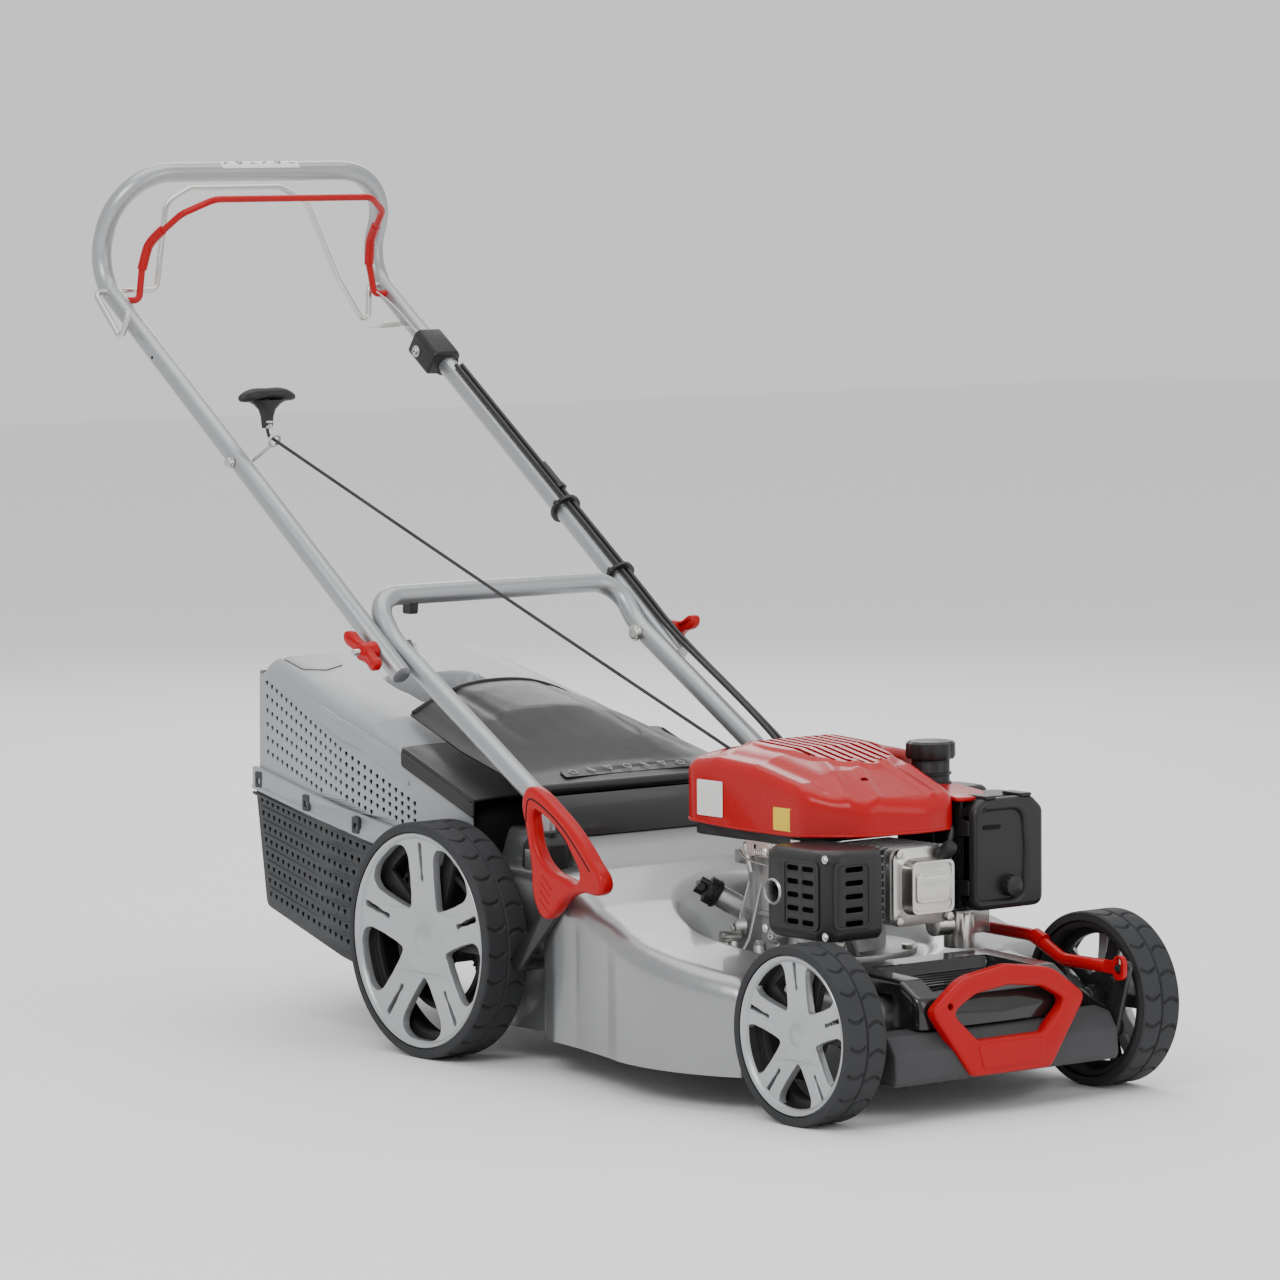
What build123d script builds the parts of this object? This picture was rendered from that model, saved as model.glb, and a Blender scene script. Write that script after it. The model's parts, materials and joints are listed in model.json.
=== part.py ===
from build123d import *
import os
from math import hypot, pi, radians, tan

os.makedirs("parts", exist_ok=True)

# Walk-behind petrol lawn mower with a grass bag. Millimetres, +X forward, +Y to the operator's left, +Z up.
# The origin lies on the ground under the middle of the whole mower, and lengths along the mower are
# measured from the rear wheel axis, which X0 places in that frame.

# ---- driving dimensions ----
X0 = -8.5                # rear wheel axis, from the origin
WHEELBASE = 667
REAR_R = 140             # rear wheel radius
FRONT_R = 100            # front wheel radius
REAR_WIDTH = 62          # rear wheel width
FRONT_WIDTH = 55         # front wheel width
REAR_OUT = 265           # rear wheel outer face, from the centre plane
FRONT_OUT = 245          # front wheel outer face, from the centre plane
FIT = 0.05               # radial running clearance
GAP = 0.4                # clearance between moving faces
STUB_R = 6               # wheel axle stub
PIVOT_X, PIVOT_Z = 60, 118             # rear height-adjuster pivot, which is also the drive shaft
FRONT_PIVOT_X, FRONT_PIVOT_Z = 727, 77.5
CRANK_Y = 165            # height link line, left of the centre plane
LINK_ARM_X, LINK_ARM_Z = 28, 69.5      # link pin, from either pivot
TUBE_R = 12.5            # handle tube
TUBE_WALL = 1.5
UPPER_Y = 212            # upper handle tube centre
LOWER_Y = 186            # lower handle tube centre
BOLT_X, BOLT_Z = -135, 472             # handle fold bolts
GRIP_X, GRIP_Z = -752, 916             # rear bend of the upper handle
BAR_X, BAR_Z = -698, 1042              # top bar of the upper handle
CROSS_X, CROSS_Z = -192, 532           # cross bar of the lower handle
BAIL_R = 4.3             # stop bail wire
DRIVE_BAIL_R = 3.8       # drive bail wire
STOP_PIVOT = (-697, 881)
DRIVE_PIVOT = (-713, 892.5)
SKIRT_Z = 40             # deck skirt above the ground
SHEET = 2.5              # deck steel
RING_X, RING_R = 430, 262              # blade ring of the deck
NOSE_Y = 184             # deck half width between the front wheels
ENGINE_X = 420           # crankshaft axis
SEAT_Z = 145             # engine seat on the deck
BLADE_R = 224
BLADE_Z = 62
CABLE_R = 3
ROPE_R = 2
FLAP_PIVOT_X, FLAP_PIVOT_Z = 100, 318


# ---- places and planes ----
def at(x, y, z):
    """A point given by its distance from the rear wheel axis, the centre plane and the ground."""
    return Vector(X0 + x, y, z)


def side_plane(y):
    """Sketch plane at one distance from the centre plane: local x forward, local y up, normal to the right."""
    return Plane(origin=at(0, y, 0), x_dir=(1, 0, 0), z_dir=(0, -1, 0))


def cross_plane(x):
    """Sketch plane across the mower: local x to the left, local y up, normal forward."""
    return Plane(origin=at(x, 0, 0), x_dir=(0, 1, 0), z_dir=(1, 0, 0))


def plan(x, y):
    """A point of a plan sketch."""
    return (X0 + x, y)


# ---- shapes that repeat ----
def bar(points, radii, radius, wall=0):
    """Round bar, or tube if it has a wall, along straight runs joined by arcs."""
    with BuildPart() as piece:
        with BuildLine() as path:
            FilletPolyline(*points, radius=radii)
        with BuildSketch(Plane(origin=path.line @ 0, z_dir=path.line % 0)):
            Circle(radius)
            if wall:
                Circle(radius - wall, mode=Mode.SUBTRACT)
        sweep()
    return piece.part


def rod_y(x, z, y_from, y_to, radius):
    """Round rod across the mower between two distances from the centre plane."""
    with BuildPart() as piece:
        with BuildSketch(side_plane(max(y_from, y_to))):
            with Locations((x, z)):
                Circle(radius)
        extrude(amount=abs(y_to - y_from))
    return piece.part


def rod(start, end, radius):
    """Round rod between two points."""
    with BuildPart() as piece:
        with BuildSketch(Plane(origin=start, z_dir=end - start)):
            Circle(radius)
        extrude(amount=(end - start).length)
    return piece.part


def plate_y(y_from, y_to, outline):
    """Flat plate seen from the side, between two distances from the centre plane."""
    with BuildPart() as piece:
        with BuildSketch(side_plane(max(y_from, y_to))):
            Polygon(*outline, align=None)
        extrude(amount=abs(y_to - y_from))
    return piece.part


def arm_y(y_from, y_to, start, end, r_start, r_end):
    """Flat arm with two round ends, seen from the side."""
    with BuildPart() as piece:
        with BuildSketch(side_plane(max(y_from, y_to))):
            with Locations(start):
                Circle(r_start)
            with Locations(end):
                Circle(r_end)
            make_hull()
        extrude(amount=abs(y_to - y_from))
    return piece.part


def block(x, y, z, corner=0):
    """Upright block between two corners, with its four vertical edges rounded."""
    with BuildPart() as piece:
        with BuildSketch(Plane.XY.offset(z[0])):
            with Locations(plan((x[0] + x[1]) / 2, (y[0] + y[1]) / 2)):
                if corner:
                    RectangleRounded(x[1] - x[0], y[1] - y[0], corner)
                else:
                    Rectangle(x[1] - x[0], y[1] - y[0])
        extrude(amount=z[1] - z[0])
    return piece.part


def upright(x, y, z_from, z_to, radius):
    """Upright round rod."""
    with BuildPart() as piece:
        with BuildSketch(Plane.XY.offset(z_from)):
            with Locations(plan(x, y)):
                Circle(radius)
        extrude(amount=z_to - z_from)
    return piece.part


# ---- deck ----
DECK_REAR = 30
SHOULDER_Y, SHOULDER_Z = 158, 232      # step beside the raised rear of the deck
BOWL_R, BOWL_TOP_R, BOWL_RISE = 140, 205, 140


def deck_form(inset):
    """Solid form of the deck; the steel lies between the form and the same form set in."""
    with BuildPart() as form:
        with BuildSketch(Plane.XY.offset(SKIRT_Z - inset)):
            with Locations(plan(RING_X, 0)):
                Circle(RING_R)
            with Locations(plan(RING_X + 230, NOSE_Y + 100), plan(RING_X + 230, -NOSE_Y - 100)):
                Rectangle(200, 200, mode=Mode.SUBTRACT)
            for s in (1, -1):
                Polygon(
                    plan(DECK_REAR, 0), plan(DECK_REAR, 182 * s), plan(158, 182 * s), plan(174, 212 * s),
                    plan(265, 229 * s), plan(410, 261.2 * s), plan(430, 0), align=None,
                )
            if inset:
                offset(amount=-inset, kind=Kind.INTERSECTION)
        extrude(amount=260)
        with BuildSketch(side_plane(300)):
            Polygon(
                (DECK_REAR - 10, 0), (DECK_REAR - 10, 268 - inset), (152, 268 - inset), (210, 234 - inset),
                (300, 202 - inset), (400, 174 - inset), (500, 152 - inset), (560, 140 - inset),
                (700, 130 - inset), (700, 0), align=None,
            )
        extrude(amount=600, mode=Mode.INTERSECT)
        for s in (1, -1):
            add(
                block((0, 240), sorted((s * (SHOULDER_Y - inset), s * 300)), (SHOULDER_Z - inset, 300)),
                mode=Mode.SUBTRACT,
            )
        with Locations(at(ENGINE_X, 0, SEAT_Z - inset)):
            Cone(
                BOWL_R + inset, BOWL_TOP_R + inset, BOWL_RISE,
                align=(Align.CENTER, Align.CENTER, Align.MIN), mode=Mode.SUBTRACT,
            )
    return form.part


deck_outside = deck_form(0)
deck_inside = deck_form(SHEET)
link_slot = block((300, 470), (CRANK_Y - 11, CRANK_Y + 11), (150, 205))
with BuildPart() as deck:
    add(deck_outside)
    add(deck_inside, mode=Mode.SUBTRACT)
    # open rear end, through which the grass leaves
    add(block((DECK_REAR - 5, DECK_REAR + 8), (-182 + SHEET, 182 - SHEET), (30, 226)), mode=Mode.SUBTRACT)
    add(block((DECK_REAR - 5, DECK_REAR + 8), (-150, 150), (200, 262)), mode=Mode.SUBTRACT)
    add(link_slot, mode=Mode.SUBTRACT)
    add(upright(ENGINE_X, 0, 100, 160, 42), mode=Mode.SUBTRACT)
    add(rod_y(PIVOT_X, PIVOT_Z, -190, 190, 10 + FIT), mode=Mode.SUBTRACT)
    for bolt_x, bolt_y in ((330, 60), (330, -60), (510, 60), (510, -60)):
        add(upright(bolt_x, bolt_y, 100, 160, 4.1), mode=Mode.SUBTRACT)
deck.part.label = "deck"
export_step(deck.part, "parts/deck.step")

with BuildPart() as front_bumper:
    with BuildSketch(side_plane(CRANK_Y)):
        Polygon((696, 45), (696, 96), (712, 101), (738, 97), (750, 78), (752, 50), (748, 45), align=None)
    extrude(amount=2 * CRANK_Y)
    with BuildSketch(side_plane(CRANK_Y - 3)):
        Polygon((690, 40), (690, 93), (712, 98), (736, 94), (747, 77), (749, 52), (744, 40), align=None)
    extrude(amount=2 * (CRANK_Y - 3), mode=Mode.SUBTRACT)
    add(rod_y(FRONT_PIVOT_X, FRONT_PIVOT_Z, -180, 180, 8 + FIT), mode=Mode.SUBTRACT)
front_bumper.part.label = "front_bumper"
export_step(front_bumper.part, "parts/front_bumper.step")

COVER_Y = 118
with BuildPart() as front_cover:
    with BuildSketch(side_plane(COVER_Y)):
        Polygon(
            (572, 141), (580, 152), (604, 158), (700, 152), (728, 132), (738, 104), (712, 101.5),
            (702, 101), (702, 133), (640, 136), align=None,
        )
    extrude(amount=2 * COVER_Y)
    fillet(front_cover.edges().filter_by(Axis.Y).sort_by(Axis.Z)[-2:], 5)
    add(block((618, 712), (-84, 84), (142, 170), 12), mode=Mode.SUBTRACT)
front_cover.part.label = "front_cover"
export_step(front_cover.part, "parts/front_cover.step")

# lifting handle on the nose: a five-cornered frame with a finger window, leaning back a little
with BuildPart() as carry_handle:
    with BuildSketch(cross_plane(740)):
        with BuildLine():
            Polyline((-114, 124), (-58, 46), (58, 46), (114, 124))
            ThreePointArc((114, 124), (0, 160), (-114, 124))
        make_face()
        with BuildLine(mode=Mode.PRIVATE) as window:
            Polyline((-84, 121), (-48, 84), (48, 84), (84, 121))
            ThreePointArc((84, 121), (0, 145), (-84, 121))
        add(make_face(window.edges(), mode=Mode.PRIVATE), mode=Mode.SUBTRACT)
    extrude(amount=20)
    add(block((735, 753), (-117, 117), (40, 102)), mode=Mode.SUBTRACT)
    for s in (1, -1):
        add(block((730.5, 745), sorted((s * 86, s * 104)), (128, 136)))
carry_handle.part.label = "carry_handle"
export_step(carry_handle.part, "parts/carry_handle.step")

# fixed panel that closes the gap between deck and flap and carries the flap's pivots
BRACKET_Y = 172
with BuildPart() as flap_bracket:
    with BuildSketch(side_plane(BRACKET_Y)):
        Polygon((112, 268), (112, 306), (118, 312), (140, 300), (158, 268), align=None)
    extrude(amount=2 * BRACKET_Y)
    for s in (1, -1):
        add(arm_y(s * 166, s * BRACKET_Y, (FLAP_PIVOT_X, FLAP_PIVOT_Z), (128, 282), 9, 10))
    add(rod_y(FLAP_PIVOT_X, FLAP_PIVOT_Z, -180, 180, 4 + FIT), mode=Mode.SUBTRACT)
    add(block((90, 112), (-166, 166), (260, 330)), mode=Mode.SUBTRACT)
flap_bracket.part.label = "flap_bracket"
export_step(flap_bracket.part, "parts/flap_bracket.step")

# ---- handle frame ----
SOCKET_TOP = 256
SOCKET_X = 149
with BuildPart() as handle_sockets:
    for s in (1, -1):
        add(block((129, 169), sorted((s * 167, s * 205)), (SHOULDER_Z, SOCKET_TOP), 8))
        add(upright(SOCKET_X, s * LOWER_Y, SHOULDER_Z + 4, SOCKET_TOP + 4, TUBE_R), mode=Mode.SUBTRACT)
handle_sockets.part.label = "handle_sockets"
export_step(handle_sockets.part, "parts/handle_sockets.step")

LOWER_ROUTE = [(SOCKET_X, 1, SHOULDER_Z + 4), (SOCKET_X, 1, 307), (-150, 1, 481), (CROSS_X, 1, CROSS_Z)]
lower_points = [at(x, -LOWER_Y * s, z) for x, s, z in LOWER_ROUTE]
lower_points += [at(x, LOWER_Y * s, z) for x, s, z in reversed(LOWER_ROUTE)]
HANDLE_BOLT_R = 4
with BuildPart() as lower_handle:
    add(bar(lower_points, [45, 100, 38, 38, 100, 45], TUBE_R, TUBE_WALL))
    add(rod_y(BOLT_X, BOLT_Z, -200, 200, HANDLE_BOLT_R), mode=Mode.SUBTRACT)
lower_handle.part.label = "lower_handle"
export_step(lower_handle.part, "parts/lower_handle.step")

with BuildPart() as handle_bolts:
    for s in (1, -1):
        add(rod_y(BOLT_X, BOLT_Z, s * 170, s * 256, HANDLE_BOLT_R))
        add(rod_y(BOLT_X, BOLT_Z, s * 168, s * 173.2, 9))
handle_bolts.part.label = "handle_bolts"
export_step(handle_bolts.part, "parts/handle_bolts.step")

UPPER_SLOPE = (GRIP_Z - BOLT_Z) / (BOLT_X - GRIP_X)


def tube_height(x):
    """Height of the upper handle's straight tube over one place along the mower."""
    return BOLT_Z + (BOLT_X - x) * UPPER_SLOPE


UPPER_END_X = -98
upper_half = [(UPPER_END_X, tube_height(UPPER_END_X)), (GRIP_X, GRIP_Z), (BAR_X, BAR_Z)]
upper_points = [at(x, -UPPER_Y, z) for x, z in upper_half]
upper_points += [at(x, UPPER_Y, z) for x, z in reversed(upper_half)]
GUIDE_X = -433
BRACKET_X = -598
with BuildPart() as upper_handle:
    add(bar(upper_points, [60, 80, 80, 60], TUBE_R, TUBE_WALL))
    add(rod_y(BOLT_X, BOLT_Z, -230, 230, HANDLE_BOLT_R + FIT), mode=Mode.SUBTRACT)
    for s in (1, -1):
        add(rod_y(*STOP_PIVOT, s * 195, s * 212, BAIL_R + FIT), mode=Mode.SUBTRACT)
        add(rod_y(*DRIVE_PIVOT, s * 190, s * 240, DRIVE_BAIL_R + FIT), mode=Mode.SUBTRACT)
    add(rod_y(-607, tube_height(-607), -230, -195, 2.5), mode=Mode.SUBTRACT)
    add(rod_y(GUIDE_X, tube_height(GUIDE_X), -230, -190, 3), mode=Mode.SUBTRACT)
upper_handle.part.label = "upper_handle"
export_step(upper_handle.part, "parts/upper_handle.step")

KNOB_IN, KNOB_OUT = UPPER_Y + TUBE_R + 0.6, 252
for side_name, s in (("right", -1), ("left", 1)):
    with BuildPart() as wing_knob:
        add(rod_y(BOLT_X, BOLT_Z, s * KNOB_IN, s * KNOB_OUT, 12))
        with BuildSketch(side_plane(s * KNOB_OUT if s > 0 else s * (KNOB_IN + 8))):
            with Locations((BOLT_X, BOLT_Z)):
                SlotOverall(62, 13, rotation=-30)
        extrude(amount=KNOB_OUT - KNOB_IN - 8)
        add(rod_y(BOLT_X, BOLT_Z, s * 220, s * 260, HANDLE_BOLT_R + FIT), mode=Mode.SUBTRACT)
    wing_knob.part.label = f"{side_name}_wing_knob"
    export_step(wing_knob.part, f"parts/{side_name}_wing_knob.step")

# engine-stop bail: one bent wire whose ends turn into the handle tubes
stop_half = [(*STOP_PIVOT, 209), (*STOP_PIVOT, 183), (-699, 926, 176), (-687, 954, 172), (-638, 990, 156)]
stop_half += [(-615, 1008, 121)]
stop_points = [at(x, -y, z) for x, z, y in stop_half]
stop_points += [at(x, y, z) for x, z, y in reversed(stop_half)]
with BuildPart() as stop_bail:
    add(bar(stop_points, [9, 30, 30, 25, 25, 25, 25, 30, 30, 9], BAIL_R))
stop_bail.part.label = "stop_bail"
export_step(stop_bail.part, "parts/stop_bail.step")

# drive bail: its right end runs through the tube to a loop outside, its left end loops inside
drive_points = [
    at(-645, -233, 868), at(-655, -238, 832), at(DRIVE_PIVOT[0], -240, DRIVE_PIVOT[1]),
    at(DRIVE_PIVOT[0], -146, DRIVE_PIVOT[1]), at(-744, -109, 1003), at(-748, -70, 1021),
    at(-748, 70, 1021), at(-744, 109, 1003), at(-722, 143, 900), at(-712, 184, 832),
    at(DRIVE_PIVOT[0], 186, DRIVE_PIVOT[1]), at(DRIVE_PIVOT[0], 207, DRIVE_PIVOT[1]),
]
with BuildPart() as drive_bail:
    add(bar(drive_points, [7, 12, 14, 30, 22, 22, 30, 40, 7, 9], DRIVE_BAIL_R))
drive_bail.part.label = "drive_bail"
export_step(drive_bail.part, "parts/drive_bail.step")

# cable clamp block on the left tube
along = Vector(-1, 0, UPPER_SLOPE).normalized()
clamp_centre = at(BRACKET_X, UPPER_Y, tube_height(BRACKET_X))
with BuildPart() as cable_bracket:
    with BuildSketch(Plane(origin=clamp_centre - along * 26, x_dir=(0, 1, 0), z_dir=along)):
        with Locations((-6, 3)):
            RectangleRounded(44, 36, 7)
        Circle(TUBE_R, mode=Mode.SUBTRACT)
        with Locations((-21, 15), (-12, 16)):
            Circle(CABLE_R, mode=Mode.SUBTRACT)
    extrude(amount=52)
cable_bracket.part.label = "cable_bracket"
export_step(cable_bracket.part, "parts/cable_bracket.step")

# rope guide: an eye on a stem that is screwed through the right tube
eye_centre = at(-405, -179, 713)
with BuildPart() as rope_guide:
    add(rod_y(GUIDE_X, tube_height(GUIDE_X), -228, -192, 3))
    add(rod_y(GUIDE_X, tube_height(GUIDE_X), -231, -UPPER_Y - TUBE_R, 6))
    add(rod(at(GUIDE_X, -194, tube_height(GUIDE_X)), at(-409, -182, 706.5), 2.2))
    with BuildSketch(Plane(origin=eye_centre + Vector(0, 7.5, 0), x_dir=(1, 0, 0), z_dir=(0, 0, 1))):
        Circle(2.2)
    revolve(axis=Axis(eye_centre, (0.91, 0, -0.40)), revolution_arc=360)
rope_guide.part.label = "rope_guide"
export_step(rope_guide.part, "parts/rope_guide.step")

# ---- starter grip and rope ----
grip_foot = at(-419, -180, 728)
with BuildPart() as starter_grip:
    with BuildSketch(Plane.XY.offset(grip_foot.Z)):
        with Locations((grip_foot.X, grip_foot.Y)):
            Circle(6)
    extrude(amount=12)
    with BuildSketch(Plane.XY.offset(grip_foot.Z + 12)):
        with Locations((grip_foot.X, grip_foot.Y)):
            Circle(8)
    with BuildSketch(Plane.XY.offset(grip_foot.Z + 36)):
        with Locations((grip_foot.X, grip_foot.Y)):
            SlotOverall(48, 18, rotation=90)
    loft()
    with BuildSketch(Plane.XY.offset(grip_foot.Z + 36)):
        with Locations((grip_foot.X, grip_foot.Y)):
            SlotOverall(86, 20, rotation=90)
    extrude(amount=15)
    fillet(starter_grip.edges().group_by(Axis.Z)[-1], 5)
starter_grip.part.label = "starter_grip"
export_step(starter_grip.part, "parts/starter_grip.step")

rope_route = [at(-419, -180, 726.8), at(-416, -179.6, 718), at(358, -72.4, 378.7)]
with BuildPart() as starter_rope:
    add(bar(rope_route, [4], ROPE_R))
starter_rope.part.label = "starter_rope"
export_step(starter_rope.part, "parts/starter_rope.step")


# ---- control cables ----
def largest_radii(points):
    """Each corner's arc, as large as the shorter of its two runs allows."""
    found = []
    for before, corner, after in zip(points, points[1:], points[2:]):
        turn = radians((corner - before).get_angle(after - corner))
        found.append(0.45 * min((corner - before).length, (after - corner).length) / tan(turn / 2))
    return found


def cable(points, name):
    """Round cable along its route, with its length printed."""
    radii = largest_radii(points)
    piece = bar(points, radii, CABLE_R)
    print(name, "smallest radius", round(min(radii)), "length", round(piece.volume / (pi * CABLE_R**2)))
    return piece


CABLE_LIFT = TUBE_R + CABLE_R + 0.6    # cable centre above the tube centre, square to the tube
lift = Vector(UPPER_SLOPE, 0, 1).normalized() * CABLE_LIFT


def over_tube(x, y):
    """Cable centre where it lies along the top of the upper handle's left tube."""
    return at(x, y, tube_height(x)) + lift


stop_route = [
    over_tube(-560, 207), over_tube(-190, 208), over_tube(-128, 206), at(-52, 198, 448), at(15, 193, 415),
    at(78, 191, 380), at(135, 187, 346), at(180, 176, 316), at(230, 156, 304), at(290, 142, 306),
    at(345, 137, 312),
]
drive_route = [
    over_tube(-560, 216), over_tube(-190, 217), over_tube(-128, 214.5), at(-52, 208, 445), at(15, 202, 412),
    at(78, 200, 377), at(135, 201, 341), at(172, 200, 302), at(185, 196, 266), at(186, 190, 237),
]
with BuildPart() as stop_cable:
    add(cable(stop_route, "stop_cable"))
stop_cable.part.label = "stop_cable"
export_step(stop_cable.part, "parts/stop_cable.step")

with BuildPart() as drive_cable:
    add(cable(drive_route, "drive_cable"))
drive_cable.part.label = "drive_cable"
export_step(drive_cable.part, "parts/drive_cable.step")

# ---- height adjuster: both axles swing about their pivots and the link keeps them together ----
CRANK_IN, CRANK_OUT = 186, 192
LEVER_Y = 232
BOSS_R = 10
CROSS_BAR = (30, 150)                  # bar that ties the two rear cranks together
SHAFT_R = 6
REAR_HUB = (206, 246)
FRONT_HUB = (194, 228)
NUT_T = 5
with BuildPart() as rear_axle:
    for s in (1, -1):
        add(arm_y(s * CRANK_IN, s * CRANK_OUT, (PIVOT_X, PIVOT_Z), (0, REAR_R), 17, 15))
        add(arm_y(s * 168, s * 174, (PIVOT_X, PIVOT_Z), CROSS_BAR, 16, 10))
        add(rod_y(PIVOT_X, PIVOT_Z, s * 168, s * CRANK_IN, BOSS_R))
        add(rod_y(0, REAR_R, s * CRANK_OUT, s * (REAR_HUB[1] + 2), STUB_R))
        add(rod_y(0, REAR_R, s * CRANK_OUT, s * (REAR_HUB[0] - 1), STUB_R + 5))
        add(rod_y(0, REAR_R, s * (REAR_HUB[1] + GAP), s * (REAR_HUB[1] + GAP + NUT_T), STUB_R + 5))
    add(rod_y(*CROSS_BAR, -174, 174, 7))
    # link arm on the left, inside the deck's side wall
    add(arm_y(171, 176, (PIVOT_X, PIVOT_Z), (PIVOT_X + LINK_ARM_X, PIVOT_Z + LINK_ARM_Z), 15, 7))
    add(rod_y(PIVOT_X + LINK_ARM_X, PIVOT_Z + LINK_ARM_Z, 158, 172, 4))
    # lever arm on the right, cranked outwards in front of the wheel
    add(arm_y(-CRANK_OUT, -198, (PIVOT_X, PIVOT_Z), (152, 126), 17, 9))
    add(rod_y(152, 126, -CRANK_OUT, -LEVER_Y, 8))
    add(arm_y(6 - LEVER_Y, -LEVER_Y, (152, 126), (228, 204), 9, 12))
    add(rod_y(PIVOT_X, PIVOT_Z, -210, 210, SHAFT_R + FIT), mode=Mode.SUBTRACT)
rear_axle.part.label = "rear_axle"
export_step(rear_axle.part, "parts/rear_axle.step")

with BuildPart() as height_lever:
    with BuildSketch(side_plane(-LEVER_Y)):
        with BuildLine():
            Spline((212, 205), (203, 250), (192, 300), (190, 322))
            ThreePointArc((190, 322), (200, 337), (216, 336))
            Spline((216, 336), (278, 301), (317, 267), (341, 236))
            Line((341, 236), (336, 226))
            Spline((336, 226), (295, 223), (263, 211), (246, 194))
            ThreePointArc((246, 194), (226, 186), (212, 205))
        make_face()
        with BuildLine(mode=Mode.PRIVATE) as grip_window:
            Spline((211, 312), (212, 285), (220, 264), (238, 247))
            Spline((238, 247), (266, 236), (296, 236))
            Spline((296, 236), (279, 272), (252, 296), (211, 312))
        add(make_face(grip_window.edges(), mode=Mode.PRIVATE), mode=Mode.SUBTRACT)
    extrude(amount=20)
height_lever.part.label = "height_lever"
export_step(height_lever.part, "parts/height_lever.step")

LINK_R = 7.5
link_front = (FRONT_PIVOT_X + LINK_ARM_X, FRONT_PIVOT_Z + LINK_ARM_Z)
link_rear = (PIVOT_X + LINK_ARM_X, PIVOT_Z + LINK_ARM_Z)
LINK_Z = 179
link_route = [
    at(link_rear[0] + 6, 163, link_rear[1]), at(200, 163, LINK_Z), at(610, 163, LINK_Z - 9),
    at(660, 163, link_front[1]), at(link_front[0] - 22, 163, link_front[1]),
]
with BuildPart() as height_link:
    add(bar(link_route, [60, 60, 40], LINK_R))
    for slot_x, slot_z in (link_rear, link_front):
        add(arm_y(160, 166, (slot_x, slot_z - 5), (slot_x, slot_z + 5), 9, 9))
    add(arm_y(160, 166, (link_front[0] - 24, link_front[1]), link_front, 7, 7))
    for slot_x, slot_z in (link_rear, link_front):
        add(
            arm_y(150, 175, (slot_x, slot_z - 3), (slot_x, slot_z + 7), 4 + 0.6, 4 + 0.6),
            mode=Mode.SUBTRACT,
        )
height_link.part.label = "height_link"
export_step(height_link.part, "parts/height_link.step")

with BuildPart() as front_axle:
    add(rod_y(FRONT_PIVOT_X, FRONT_PIVOT_Z, -178, 178, 8))
    for s in (1, -1):
        add(
            arm_y(s * 176, s * 182, (FRONT_PIVOT_X, FRONT_PIVOT_Z), (WHEELBASE, FRONT_R), 14, 14)
        )
        add(rod_y(WHEELBASE, FRONT_R, s * 182, s * (FRONT_HUB[1] + 2), STUB_R))
        add(rod_y(WHEELBASE, FRONT_R, s * 182, s * (FRONT_HUB[0] - 1), STUB_R + 5))
        add(rod_y(WHEELBASE, FRONT_R, s * (FRONT_HUB[1] + GAP), s * (FRONT_HUB[1] + GAP + NUT_T), STUB_R + 5))
    add(arm_y(170, 176, (FRONT_PIVOT_X, FRONT_PIVOT_Z), link_front, 14, 7))
    add(rod_y(*link_front, 158, 172, 4))
front_axle.part.label = "front_axle"
export_step(front_axle.part, "parts/front_axle.step")

# ---- wheels ----
COVER_T = 3.5
SPOKES = 5


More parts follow.
